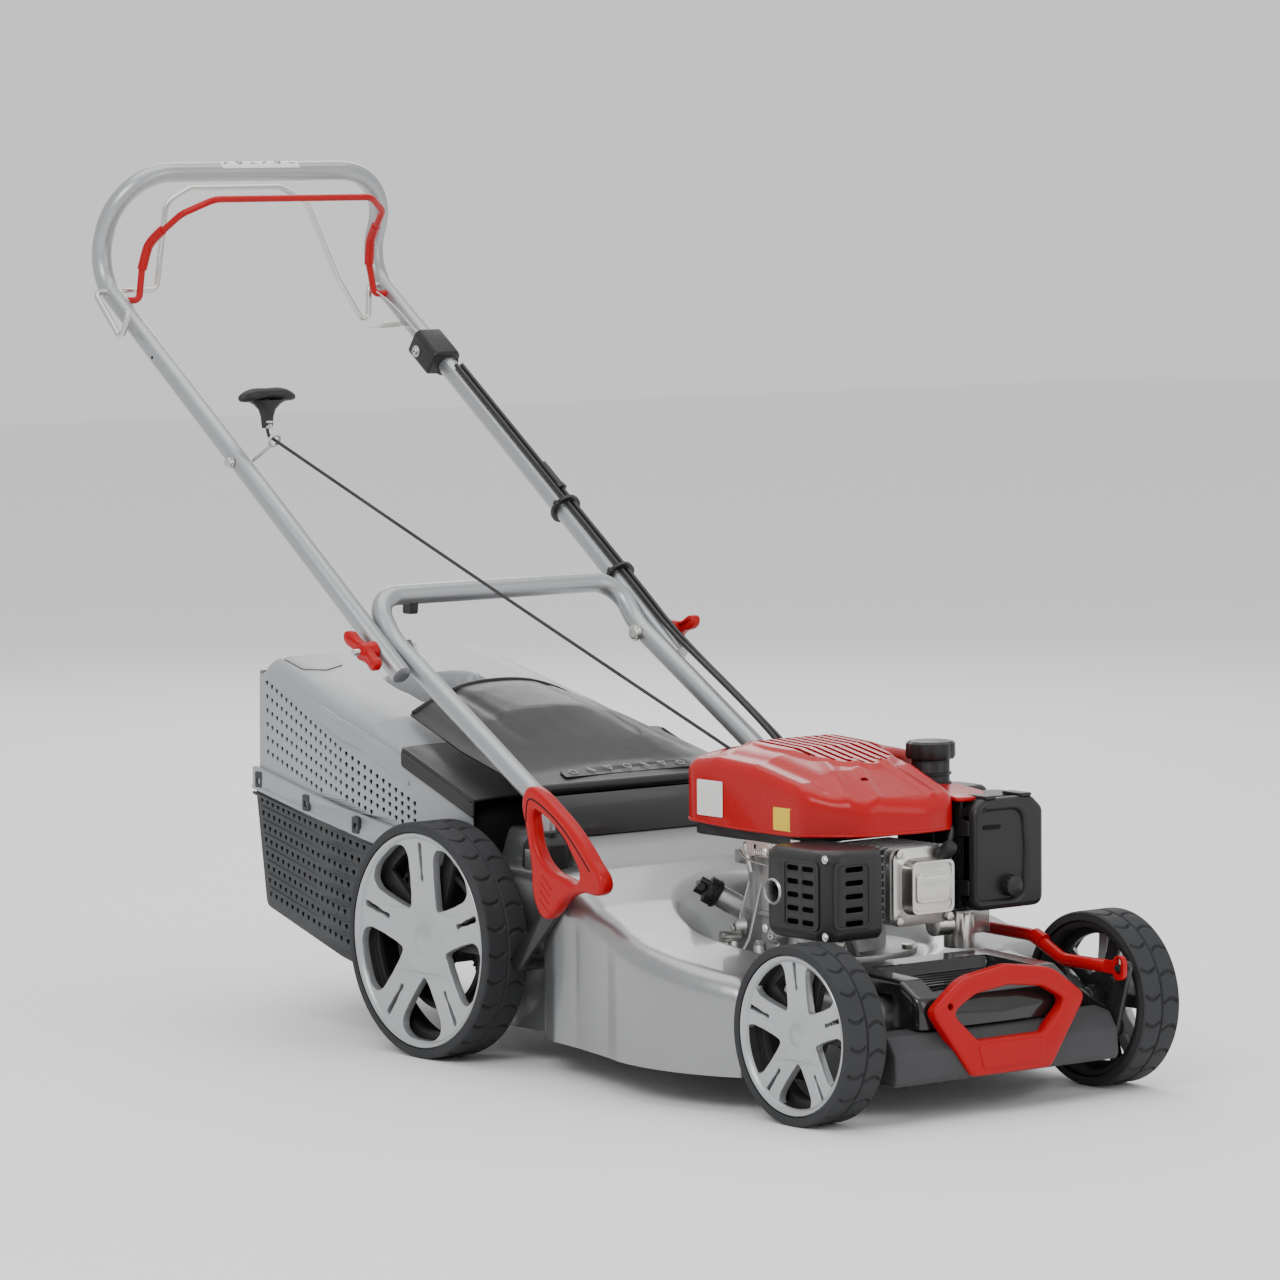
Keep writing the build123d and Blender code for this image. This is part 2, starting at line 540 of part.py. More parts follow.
def wheel(name, x, z, s, radius, width, outer, hub, tyre_ratio, gear=False):
    """Rim, tyre and outer cover of one wheel; s is 1 on the left and -1 on the right."""
    seat = radius * tyre_ratio
    middle = outer - width / 2
    inner = outer - width
    disc = (hub[1] - 14, hub[1] - 6)
    with BuildPart() as rim:
        add(rod_y(x, z, s * (inner + 3), s * (outer - 8), seat))
        add(rod_y(x, z, s * (inner + 3), s * disc[0], seat - 7), mode=Mode.SUBTRACT)
        add(rod_y(x, z, s * disc[1], s * (outer - 8), seat - 7), mode=Mode.SUBTRACT)
        with BuildSketch(side_plane(s * disc[1] if s > 0 else s * disc[0])):
            with Locations((x, z)):
                Circle(seat - 16)
                Circle(0.30 * radius, mode=Mode.SUBTRACT)
                with PolarLocations(0, SPOKES):
                    with Locations((radius / 2, 0)):
                        Rectangle(radius, 0.14 * radius, mode=Mode.SUBTRACT)
        extrude(amount=disc[1] - disc[0], mode=Mode.SUBTRACT)
        add(rod_y(x, z, s * hub[0], s * hub[1], 0.15 * radius))
        if gear:
            add(rod_y(x, z, s * (inner + 3), s * disc[0], GEAR_R + 7))
            add(rod_y(x, z, s * (inner + 3), s * disc[0], GEAR_R), mode=Mode.SUBTRACT)
            add(rod_y(x, z, s * hub[0], s * disc[0], 0.15 * radius))
        add(rod_y(x, z, s * (inner - 5), s * outer, STUB_R + FIT), mode=Mode.SUBTRACT)
    rim.part.label = f"{name}_rim"
    export_step(rim.part, f"parts/{name}_rim.step")

    with BuildPart() as tyre:
        with BuildSketch(Plane(origin=at(x, 0, z), x_dir=(0, s, 0), z_dir=(s, 0, 0))) as section:
            with Locations((middle, (radius + seat) / 2)):
                Rectangle(width, radius - seat)
            fillet(section.vertices().group_by(Axis.Y)[-1], 0.045 * radius)
        revolve(axis=Axis(at(x, 0, z), (0, 1, 0)), revolution_arc=360)
    tyre.part.label = f"{name}_tyre"
    export_step(tyre.part, f"parts/{name}_tyre.step")

    with BuildPart() as cover:
        with BuildSketch(side_plane(s * (outer - 8 + COVER_T) if s > 0 else s * (outer - 8))):
            with Locations((x, z)):
                Circle(seat)
                Circle(seat - 11, mode=Mode.SUBTRACT)
                Circle(0.24 * radius)
        extrude(amount=COVER_T)
        spoke_profile = [(0.18, 0.08), (0.45, 0.10), (0.84, 0.24), (0.84, -0.24), (0.45, -0.10), (0.18, -0.08)]
        with BuildSketch(side_plane(s * (outer - 8 + COVER_T) if s > 0 else s * (outer - 8))):
            with Locations((x, z)):
                with PolarLocations(0, SPOKES, start_angle=90):
                    Polygon(*[(u * radius, v * radius) for u, v in spoke_profile], align=None)
                    with Locations((0.62 * radius, 0)):
                        Ellipse(0.19 * radius, 0.022 * radius, mode=Mode.SUBTRACT)
        extrude(amount=COVER_T)
        with BuildSketch(side_plane(s * (outer - 1) if s > 0 else s * (outer - 8 + COVER_T))):
            with Locations((x, z)):
                Circle(seat)
                Circle(seat - 4, mode=Mode.SUBTRACT)
        extrude(amount=7 - COVER_T)
    cover.part.label = f"{name}_cover"
    export_step(cover.part, f"parts/{name}_cover.step")


# drive pinion on the pivot shaft, running inside the gear ring of each rear wheel
PINION_R = 14
GEAR_R = hypot(PIVOT_X, REAR_R - PIVOT_Z) + PINION_R + 0.8
for side_name, s in (("right", -1), ("left", 1)):
    wheel(f"rear_{side_name}", 0, REAR_R, s, REAR_R, REAR_WIDTH, REAR_OUT, REAR_HUB, 0.913, gear=True)
    wheel(f"front_{side_name}", WHEELBASE, FRONT_R, s, FRONT_R, FRONT_WIDTH, FRONT_OUT, FRONT_HUB, 0.89)

with BuildPart() as drive_shaft:
    add(rod_y(PIVOT_X, PIVOT_Z, -218, 218, SHAFT_R))
    PINION_TEETH = 12
    for y in (218, -208):
        with BuildSketch(side_plane(y)):
            with Locations((PIVOT_X, PIVOT_Z)):
                Circle(PINION_R - 3)
                with PolarLocations(PINION_R - 2, PINION_TEETH):
                    Trapezoid(5, 3.5, 70, rotation=-90)
        extrude(amount=10)
drive_shaft.part.label = "drive_shaft"
export_step(drive_shaft.part, "parts/drive_shaft.step")

# ---- transmission ----
PULLEY_X = 132
BELT_Z = 98
BELT_H = 9
ENGINE_PULLEY_R = 30
DRIVEN_PULLEY_R = 36
with BuildPart() as gearbox:
    add(rod_y(PIVOT_X, PIVOT_Z, -48, 48, 27))
    add(rod_y(PIVOT_X, PIVOT_Z, -60, 60, 15))
    add(block((PIVOT_X, PULLEY_X + 20), (-26, 26), (108, 142), 8))
    add(upright(PULLEY_X, 0, 104, 150, 16))
    add(rod_y(PIVOT_X, PIVOT_Z, -70, 70, SHAFT_R + FIT), mode=Mode.SUBTRACT)
    add(upright(PULLEY_X, 0, 90, 135, 5 + FIT), mode=Mode.SUBTRACT)
    # torque stay up to the deck
    add(block((PULLEY_X - 6, PULLEY_X + 6), (-20, 20), (140, 265.5)))
gearbox.part.label = "gearbox"
export_step(gearbox.part, "parts/gearbox.step")


def pulley(x, radius, z_middle, height):
    """Pulley with a V groove, on an upright axis."""
    half = height / 2 + 2
    with BuildPart() as piece:
        with BuildSketch(Plane(origin=at(x, 0, 0), x_dir=(1, 0, 0), z_dir=(0, -1, 0))):
            Polygon(
                (0, z_middle - half), (radius + 4, z_middle - half), (radius + 4, z_middle - half + 1.5),
                (radius - 4, z_middle - 2), (radius - 4, z_middle + 2), (radius + 4, z_middle + half - 1.5),
                (radius + 4, z_middle + half), (0, z_middle + half), align=None,
            )
        revolve(axis=Axis(at(x, 0, 0), (0, 0, 1)), revolution_arc=360)
    return piece.part


with BuildPart() as gearbox_pulley:
    add(pulley(PULLEY_X, DRIVEN_PULLEY_R, BELT_Z - 5, BELT_H))
    add(upright(PULLEY_X, 0, BELT_Z - 5, 132, 5))
gearbox_pulley.part.label = "gearbox_pulley"
export_step(gearbox_pulley.part, "parts/gearbox_pulley.step")

with BuildPart() as drive_belt:
    with BuildSketch(Plane.XY.offset(BELT_Z - 5 - 2)):
        for grow, how in ((5, Mode.ADD), (1.6, Mode.SUBTRACT)):
            with BuildSketch(mode=Mode.PRIVATE) as loop:
                with Locations(plan(ENGINE_X, 0)):
                    Circle(ENGINE_PULLEY_R + grow)
                with Locations(plan(PULLEY_X, 0)):
                    Circle(DRIVEN_PULLEY_R + grow)
                make_hull()
            add(loop.sketch, mode=how)
    extrude(amount=4)
drive_belt.part.label = "drive_belt"
export_step(drive_belt.part, "parts/drive_belt.step")

# ---- crankshaft train ----
CRANK_R = 12.5
with BuildPart() as blade_hub:
    add(pulley(ENGINE_X, ENGINE_PULLEY_R, BELT_Z - 5, BELT_H))
    add(upright(ENGINE_X, 0, BLADE_Z, BELT_Z, 22))
    add(block((ENGINE_X - 30, ENGINE_X + 30), (-16, 16), (BLADE_Z, BLADE_Z + 7), 6))
    add(upright(ENGINE_X, 0, BLADE_Z - 2, BELT_Z + 10, CRANK_R), mode=Mode.SUBTRACT)
blade_hub.part.label = "blade_hub"
export_step(blade_hub.part, "parts/blade_hub.step")

with BuildPart() as blade:
    with BuildSketch(Plane.XY.offset(BLADE_Z - 4)):
        with Locations(plan(ENGINE_X, 0)):
            Rectangle(2 * BLADE_R - 8, 50)
            with Locations((-BLADE_R + 45, 28), (BLADE_R - 45, -28)):
                Rectangle(74, 30, mode=Mode.SUBTRACT)
            Circle(5, mode=Mode.SUBTRACT)
    extrude(amount=4)
    for turn in (0, 180):
        with BuildSketch(Plane(origin=at(ENGINE_X, 0, BLADE_Z), z_dir=(0, 0, 1)).rotated((0, 0, turn))):
            with Locations((BLADE_R - 45, 20)):
                Rectangle(66, 4)
        extrude(amount=12)
blade.part.label = "blade"
export_step(blade.part, "parts/blade.step")

with BuildPart() as blade_bolt:
    with BuildSketch(Plane.XY.offset(BLADE_Z - 12)):
        with Locations(plan(ENGINE_X, 0)):
            RegularPolygon(10, 6)
    extrude(amount=5)
    add(upright(ENGINE_X, 0, BLADE_Z - 7, BLADE_Z - 4, 16))
    add(upright(ENGINE_X, 0, BLADE_Z - 7, BLADE_Z + 22, 5))
blade_bolt.part.label = "blade_bolt"
export_step(blade_bolt.part, "parts/blade_bolt.step")

SHAFT_TOP = 372
with BuildPart() as crankshaft:
    add(upright(ENGINE_X, 0, BLADE_Z, SHAFT_TOP, CRANK_R))
    add(upright(ENGINE_X, 0, 190, 204, 34))
    add(upright(ENGINE_X, 0, 226, 240, 34))
    add(upright(ENGINE_X, 0, BLADE_Z - 1, BLADE_Z + 24, 5), mode=Mode.SUBTRACT)
crankshaft.part.label = "crankshaft"
export_step(crankshaft.part, "parts/crankshaft.step")

FLYWHEEL_R = 70
FINS = 16
with BuildPart() as flywheel:
    add(upright(ENGINE_X, 0, 306, 322, FLYWHEEL_R))
    add(upright(ENGINE_X, 0, 300, 345, 26))
    with BuildSketch(Plane.XY.offset(322)):
        with Locations(plan(ENGINE_X, 0)):
            with PolarLocations(50, FINS):
                Rectangle(32, 3, rotation=25)
    extrude(amount=18)
    add(upright(ENGINE_X, 0, 290, 350, CRANK_R), mode=Mode.SUBTRACT)
flywheel.part.label = "flywheel"
export_step(flywheel.part, "parts/flywheel.step")

# ---- engine ----
FLANGE_R = 115
CASE_TOP = 264
with BuildPart() as crankcase:
    add(upright(ENGINE_X, 0, SEAT_Z, SEAT_Z + 9, FLANGE_R))
    add(upright(ENGINE_X, 0, SEAT_Z + 9, 262, 79))
    add(block((ENGINE_X - 78, ENGINE_X + 78), (-74, 74), (250, CASE_TOP), 30))
    add(block((ENGINE_X + 20, 500), (-52, 52), (186, 262), 6))
    # oil filler neck on the right, leaning back
    filler_foot = at(362, -52, 190)
    filler_top = at(338, -86, 214)
    add(rod(filler_foot, filler_top, 13))
    # crank chamber
    add(upright(ENGINE_X, 0, 160, 254, 70), mode=Mode.SUBTRACT)
    add(upright(ENGINE_X, 0, 130, 280, CRANK_R + FIT), mode=Mode.SUBTRACT)
    filler_axis = filler_top - filler_foot
    add(rod(filler_foot - filler_axis * 0.3, filler_top + filler_axis * 0.1, 9), mode=Mode.SUBTRACT)
    for bolt_x, bolt_y in ((330, 60), (330, -60), (510, 60), (510, -60)):
        add(upright(bolt_x, bolt_y, 140, 160, 4.1), mode=Mode.SUBTRACT)
crankcase.part.label = "crankcase"
export_step(crankcase.part, "parts/crankcase.step")

CYL_Z = 240
HEAD_X = 600
with BuildPart() as cylinder:
    with BuildSketch(cross_plane(500)):
        with Locations((0, CYL_Z - 6)):
            RectangleRounded(82, 70, 12)
    extrude(amount=HEAD_X - 500)
    for fin in range(8):
        with BuildSketch(cross_plane(508 + 11 * fin)):
            with Locations((0, CYL_Z)):
                RectangleRounded(86, 88, 10)
        extrude(amount=4)
    with BuildSketch(cross_plane(500)):
        with Locations((0, CYL_Z - 6)):
            Circle(30)
    extrude(amount=78, mode=Mode.SUBTRACT)
cylinder.part.label = "cylinder"
export_step(cylinder.part, "parts/cylinder.step")

with BuildPart() as valve_cover:
    with BuildSketch(cross_plane(HEAD_X)):
        with Locations((0, CYL_Z)):
            RectangleRounded(86, 88, 14)
    extrude(amount=6)
    with BuildSketch(cross_plane(HEAD_X + 6)):
        with Locations((0, CYL_Z)):
            RectangleRounded(62, 64, 14)
    extrude(amount=18, taper=6)
    fillet(valve_cover.faces().sort_by(Axis.X)[-1].edges(), 4)
    with BuildSketch(cross_plane(HEAD_X + 24)):
        with Locations((0, CYL_Z)):
            RectangleRounded(52, 34, 6)
    extrude(amount=3)
    with BuildSketch(cross_plane(HEAD_X)):
        with Locations((0, CYL_Z)):
            with GridLocations(74, 76, 2, 2):
                Circle(3.1)
    extrude(amount=30, mode=Mode.SUBTRACT)
valve_cover.part.label = "valve_cover"
export_step(valve_cover.part, "parts/valve_cover.step")

# one kind of hexagon bolt: four hold the valve cover, four hold the engine to the deck
with BuildPart() as hex_bolts:
    for u in (-37, 37):
        for v in (-38, 38):
            with BuildSketch(cross_plane(HEAD_X + 6)):
                with Locations((u, CYL_Z + v)):
                    RegularPolygon(5.5, 6)
            extrude(amount=5)
            with BuildSketch(cross_plane(HEAD_X)):
                with Locations((u, CYL_Z + v)):
                    Circle(3)
            extrude(amount=7)
    for bolt_x, bolt_y in ((330, 60), (330, -60), (510, 60), (510, -60)):
        add(upright(bolt_x, bolt_y, 136, SEAT_Z + 10, 4))
        with BuildSketch(Plane.XY.offset(SEAT_Z + 9)):
            with Locations(plan(bolt_x, bolt_y)):
                RegularPolygon(7, 6)
        extrude(amount=5)
hex_bolts.part.label = "hex_bolts"
export_step(hex_bolts.part, "parts/hex_bolts.step")

SHROUD_BASE, SHROUD_TOP = 300, 388


def shroud_form(inset):
    """Solid form of the engine's red cover."""
    with BuildPart() as form:
        with BuildSketch(Plane.XY.offset(SHROUD_BASE - inset)):
            with BuildLine():
                Polyline(
                    plan(334, -122), plan(545, -124), plan(604, -88), plan(617, 0), plan(608, 55),
                    plan(466, 60), plan(460, 122), plan(350, 124),
                )
                ThreePointArc(plan(350, 124), plan(312, 0), plan(334, -122))
            make_face()
            offset(amount=-inset - 8, kind=Kind.INTERSECTION)
            offset(amount=8)
        extrude(amount=SHROUD_TOP - SHROUD_BASE + 20)
        with BuildSketch(side_plane(200)):
            Polygon(
                (290, 280), (290, 362 - inset), (336, 380 - inset), (380, SHROUD_TOP - inset),
                (450, SHROUD_TOP - 3 - inset), (530, 368 - inset), (600, 344 - inset), (640, 326 - inset),
                (640, 280), align=None,
            )
        extrude(amount=400, mode=Mode.INTERSECT)
        # the top falls away to both sides
        with BuildSketch(cross_plane(280)):
            Polygon(
                (-140, 280), (-140, 352 - inset), (-96, 396 - inset), (-60, 420), (60, 420),
                (96, 396 - inset), (140, 352 - inset), (140, 280), align=None,
            )
        extrude(amount=380, mode=Mode.INTERSECT)
    return form.part


shroud_outside = shroud_form(0)
shroud_inside = shroud_form(2.5)
shroud_posts = []
for s in (1, -1):
    with BuildPart() as post:
        add(block((341, 353), sorted((s * 59, s * 72)), (CASE_TOP + 0.1, SHROUD_TOP + 20)))
        add(shroud_outside, mode=Mode.INTERSECT)
    shroud_posts.append(post.part)
    shroud_posts.append(block((341, 353), sorted((s * 59, s * 72)), (CASE_TOP + 0.1, SHROUD_BASE + 1)))
with BuildPart() as engine_shroud:
    add(shroud_outside)
    add(shroud_inside, mode=Mode.SUBTRACT)
    # rope notch and cooling slots
    add(rod(at(326, -76.8, 392.7), at(392, -67.7, 363.8), 6), mode=Mode.SUBTRACT)
    for n in range(9):
        with BuildSketch(Plane.XY.offset(SHROUD_TOP - 25)):
            with Locations(plan(425, 13 * (n - 4))):
                SlotOverall(150 - 14 * abs(n - 4), 6)
        extrude(amount=60, mode=Mode.SUBTRACT)
    for post in shroud_posts:
        add(post)
engine_shroud.part.label = "engine_shroud"
export_step(engine_shroud.part, "parts/engine_shroud.step")

TANK_X, TANK_Y = 500, 104
with BuildPart() as fuel_tank:
    add(block((468, 531), (72, 172), (CASE_TOP + 0.2, 336), 16))
    fillet(fuel_tank.edges().group_by(Axis.Z)[-1], 10)
    add(upright(TANK_X, TANK_Y, 330, 368, 22))
    add(block((474, 525), (78, 166), (268, 330), 10), mode=Mode.SUBTRACT)
    add(upright(TANK_X, TANK_Y, 320, 370, 17), mode=Mode.SUBTRACT)
fuel_tank.part.label = "fuel_tank"
export_step(fuel_tank.part, "parts/fuel_tank.step")

CAP_LUGS = 12
with BuildPart() as fuel_cap:
    with BuildSketch(Plane.XY.offset(368.6)):
        with Locations(plan(TANK_X, TANK_Y)):
            Circle(29)
            with PolarLocations(30.5, CAP_LUGS):
                Circle(3.6, mode=Mode.SUBTRACT)
    extrude(amount=21)
    fillet(fuel_cap.edges().group_by(Axis.Z)[-1], 2)
    add(upright(TANK_X, TANK_Y, 358, 369, 17 - GAP))
fuel_cap.part.label = "fuel_cap"
export_step(fuel_cap.part, "parts/fuel_cap.step")

# oil dipstick: cap with a grip wing, and the blade down the filler neck
filler_dir = filler_axis.normalized()
dip_plane = Plane(origin=filler_top + filler_dir * GAP, x_dir=(1, 0, 0.57), z_dir=filler_dir)
with BuildPart() as dipstick:
    with BuildSketch(dip_plane):
        Circle(16)
        with PolarLocations(17, 8):
            Circle(2.4, mode=Mode.SUBTRACT)
    extrude(amount=9)
    with BuildSketch(dip_plane.offset(9)):
        SlotOverall(28, 8)
    extrude(amount=12)
    with BuildSketch(dip_plane):
        Circle(8.4)
    extrude(amount=-22)
    with BuildSketch(dip_plane.offset(-22)):
        Rectangle(5, 1.6)
    extrude(amount=-14)
dipstick.part.label = "dipstick"
export_step(dipstick.part, "parts/dipstick.step")

# muffler guard: a pressed box with slots and the outlet hole, open towards the cylinder
GUARD_X, GUARD_Y, GUARD_Z = (528, 648), (-174, -96), (192, 294)
GUARD_T = 1.6


def guard_form(inset):
    """Box with rounded corners and edges, longer than the guard on its open side."""
    with BuildPart() as form:
        add(
            block(
                (GUARD_X[0] + inset, GUARD_X[1] - inset), (GUARD_Y[0] + inset, GUARD_Y[1] + 30),
                (GUARD_Z[0] + inset, GUARD_Z[1] - inset), 26 - inset,
            )
        )
        fillet(form.edges().group_by(Axis.Z)[-1] + form.edges().group_by(Axis.Z)[0], 14 - inset)
    return form.part


guard_outside = guard_form(0)
guard_inside = guard_form(GUARD_T)
with BuildPart() as muffler_guard:
    add(guard_outside)
    add(guard_inside, mode=Mode.SUBTRACT)
    add(block((500, 700), (GUARD_Y[1], 0), (100, 400)), mode=Mode.SUBTRACT)
    for row in range(5):
        for col in range(2):
            with BuildSketch(side_plane(GUARD_Y[0] + 10)):
                with Locations((587 + 26 * col, 213 + 15 * row)):
                    SlotOverall(20, 6)
            extrude(amount=20, mode=Mode.SUBTRACT)
        with BuildSketch(cross_plane(GUARD_X[1] - 10)):
            with Locations((-136, 213 + 15 * row)):
                SlotOverall(26, 6)
        extrude(amount=20, mode=Mode.SUBTRACT)
    with BuildSketch(side_plane(GUARD_Y[0] + 10)):
        with Locations((552, 243)):
            Circle(12)
    extrude(amount=20, mode=Mode.SUBTRACT)
    # exhaust flange from the cylinder
    add(rod_y(556, 236, -45, -98, 11))
    add(plate_y(-96, -99, [
        (540, 193), (636, 193), (647, 204), (647, 282), (636, 293), (540, 293), (529, 282), (529, 204),
    ]))
muffler_guard.part.label = "muffler_guard"
export_step(muffler_guard.part, "parts/muffler_guard.step")

FILTER_Y, FILTER_Z = (64, 166), (206, 332)
with BuildPart() as air_filter_housing:
    add(block((542, 598), FILTER_Y, FILTER_Z, 12))
    add(block((546, 600), (68, 162), (210, 328), 8), mode=Mode.SUBTRACT)
    add(block((598 - 12, 598), FILTER_Y, FILTER_Z))
    add(block((500, 600), (68, 162), (210, 328)), mode=Mode.SUBTRACT)
    add(plate_y(66, 164, [(542, 208), (547, 208), (547, 330), (542, 330)]))
air_filter_housing.part.label = "air_filter_housing"
export_step(air_filter_housing.part, "parts/air_filter_housing.step")

with BuildPart() as air_filter_cover:
    with BuildSketch(cross_plane(598)):
        with Locations((115, 269)):
            RectangleRounded(106, 130, 14)
    extrude(amount=24)
    fillet(air_filter_cover.faces().sort_by(Axis.X)[-1].edges(), 7)
    with BuildSketch(cross_plane(597)):
        with Locations((115, 269)):
            RectangleRounded(98, 122, 10)
    extrude(amount=21, mode=Mode.SUBTRACT)
    with BuildSketch(cross_plane(621)):
        with Locations((126, 240)):
            Circle(13)
    extrude(amount=9)
air_filter_cover.part.label = "air_filter_cover"
export_step(air_filter_cover.part, "parts/air_filter_cover.step")

with BuildPart() as carburettor:
    add(rod_y(572, 188, 44, 104, 13))
    add(upright(572, 84, 160, 200, 18))
    add(block((556, 588), (66, 118), (176, 203), 4))
carburettor.part.label = "carburettor"
export_step(carburettor.part, "parts/carburettor.step")

# ---- rear flap ----
FLAP_T = 3


def flap_section(x, half, side_z, crown_z):
    """Arched strip across the mower: half width, edge height and crown height."""
    with BuildSketch(cross_plane(x)) as section:
        with BuildLine():
            ThreePointArc((-half, side_z), (0, crown_z), (half, side_z))
            Line((half, side_z), (half, side_z - FLAP_T))
            ThreePointArc((half, side_z - FLAP_T), (0, crown_z - FLAP_T), (-half, side_z - FLAP_T))
            Line((-half, side_z - FLAP_T), (-half, side_z))
        make_face()
    return section.sketch


with BuildPart() as rear_flap:
    loft([flap_section(88, 163, 317, 325), flap_section(-55, 158, 350, 388), flap_section(-193, 131, 384, 422)])
    add(rod_y(FLAP_PIVOT_X, FLAP_PIVOT_Z, -162, 162, 7))
    add(plate_y(-160, 160, [(84, 316), (84, 321), (100, 323), (100, 316)]))
    for s in (1, -1):
        add(rod_y(FLAP_PIVOT_X, FLAP_PIVOT_Z, s * 160, s * 171.5, 4))
rear_flap.part.label = "rear_flap"
export_step(rear_flap.part, "parts/rear_flap.step")

# ---- grass bag ----
BAG_Y = 194
BAG_SPLIT = 298
BAG_WALL = 2.5


def bag_form(inset):
    """Solid form of the bag, with its open mouth towards the deck."""
    with BuildPart() as form:
        with BuildSketch(side_plane(BAG_Y - inset)):
            Polygon(
                (20 + inset, 294 - inset), (20 + inset, 206 + inset), (-92 + inset, 206 + inset),
                (-98 + inset, 92 + inset), (-218, 80 + inset), (-432 + inset, 112 + inset),
                (-466 + inset, BAG_SPLIT), (-452 + inset, 445 - inset), (-206, 383 - inset),
                (-200, 365 - inset), align=None,
            )
        extrude(amount=2 * (BAG_Y - inset))
        with BuildSketch(Plane.XY.offset(60)):
            Polygon(
                plan(30, BAG_Y - inset), plan(-250, BAG_Y - inset), plan(-470, 164 - inset),
                plan(-470, -164 + inset), plan(-250, -BAG_Y + inset), plan(30, -BAG_Y + inset), align=None,
            )
        extrude(amount=400, mode=Mode.INTERSECT)
        # the mouth stays clear of the axle cranks and the flap narrows towards the back
        for s in (1, -1):
            add(block((-500, -200), sorted((s * 146, s * 230)), (430 - inset, 500)), mode=Mode.SUBTRACT)
    return form.part


bag_outside = bag_form(0)
bag_inside = bag_form(BAG_WALL)
above_split = block((-600, 100), (-300, 300), (BAG_SPLIT, 600))
below_split = block((-600, 100), (-300, 300), (0, BAG_SPLIT - 0.2))
mouth = block((-60, 40), (-BAG_Y + 12, BAG_Y - 12), (212, 288))
# finger opening behind the carry bar of the bag
hand_hole = block((-336, -252), (-56, 56), (300, 500), 24)
with BuildPart() as bag_upper:
    add(bag_outside)
    add(bag_inside, mode=Mode.SUBTRACT)
    add(above_split, mode=Mode.INTERSECT)
    add(hand_hole, mode=Mode.SUBTRACT)
bag_upper.part.label = "bag_upper"
export_step(bag_upper.part, "parts/bag_upper.step")

with BuildPart() as bag_lower:
    add(bag_outside)
    add(bag_inside, mode=Mode.SUBTRACT)
    add(below_split, mode=Mode.INTERSECT)
    add(mouth, mode=Mode.SUBTRACT)
bag_lower.part.label = "bag_lower"
export_step(bag_lower.part, "parts/bag_lower.step")

# black band over the front of the bag, which hooks under the flap
BAND_Y = 198
with BuildPart() as bag_frame:
    with BuildSketch(side_plane(BAND_Y)):
        Polygon((-121, 357), (24, 305), (24, 262), (-60, 290), (-121, 320), align=None)
    extrude(amount=2 * BAND_Y)
    with BuildSketch(side_plane(BAND_Y - 3)):
        Polygon((-130, 357), (-121, 354), (26, 301.3), (30, 250), (-60, 280), (-130, 300), align=None)
    extrude(amount=2 * (BAND_Y - 3), mode=Mode.SUBTRACT)
bag_frame.part.label = "bag_frame"
export_step(bag_frame.part, "parts/bag_frame.step")
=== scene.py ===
import json
import math
import bmesh
import bpy
import numpy as np
from mathutils import Matrix, Vector


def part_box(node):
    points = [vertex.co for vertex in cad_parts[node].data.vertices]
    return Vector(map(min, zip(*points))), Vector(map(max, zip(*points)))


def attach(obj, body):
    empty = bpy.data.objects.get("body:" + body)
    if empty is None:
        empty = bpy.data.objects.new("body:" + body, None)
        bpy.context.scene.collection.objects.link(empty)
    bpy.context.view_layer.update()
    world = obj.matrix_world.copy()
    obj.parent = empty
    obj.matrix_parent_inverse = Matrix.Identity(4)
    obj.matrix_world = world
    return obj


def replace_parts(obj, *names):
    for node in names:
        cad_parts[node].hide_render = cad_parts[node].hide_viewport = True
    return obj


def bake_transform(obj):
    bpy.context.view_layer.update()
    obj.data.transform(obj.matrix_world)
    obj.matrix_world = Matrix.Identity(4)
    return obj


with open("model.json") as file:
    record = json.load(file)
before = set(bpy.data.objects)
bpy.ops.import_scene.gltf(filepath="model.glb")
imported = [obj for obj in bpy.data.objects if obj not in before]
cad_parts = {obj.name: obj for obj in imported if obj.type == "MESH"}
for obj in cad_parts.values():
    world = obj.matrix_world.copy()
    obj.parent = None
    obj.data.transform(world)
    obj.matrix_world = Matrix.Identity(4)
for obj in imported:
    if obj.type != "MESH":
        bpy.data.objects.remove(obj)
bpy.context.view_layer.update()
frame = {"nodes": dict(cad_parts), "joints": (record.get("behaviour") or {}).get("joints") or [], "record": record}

MM = 0.001
NODES = frame["nodes"]
SIDES = (-1, 1)                       # right, left


def centre(node):
    low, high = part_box(node)
    return (low + high) / 2


REAR = centre("rear_right_tyre")      # rear wheel axis
AXIS_X = REAR.x


def at(x, y, z):
    """Millimetres: forward of the rear wheel axis, left of the centre plane, above the ground."""
    return Vector((AXIS_X + x * MM, y * MM, z * MM))


# ---------------------------------------------------------------- camera, light and floor
AZIMUTH, ELEVATION, ROLL = math.radians(51.9381), math.radians(4.7795), math.radians(-0.471)
back = Vector(
    (math.sin(AZIMUTH) * math.cos(ELEVATION), -math.cos(AZIMUTH) * math.cos(ELEVATION), math.sin(ELEVATION))
)
side = (-back).cross(Vector((0, 0, 1))).normalized()
top = side.cross(-back)
right = side * math.cos(ROLL) + top * math.sin(ROLL)
above = top * math.cos(ROLL) - side * math.sin(ROLL)
camera = bpy.data.objects.new("camera", bpy.data.cameras.new("camera"))
bpy.context.scene.collection.objects.link(camera)
camera.matrix_world = Matrix.Translation(
    (5.6684, -4.3718, 1.0790)
) @ Matrix((right, above, back)).transposed().to_4x4()
camera.data.lens = 168.37
camera.data.sensor_width = 36
camera.data.clip_end = 60
bpy.context.scene.camera = camera


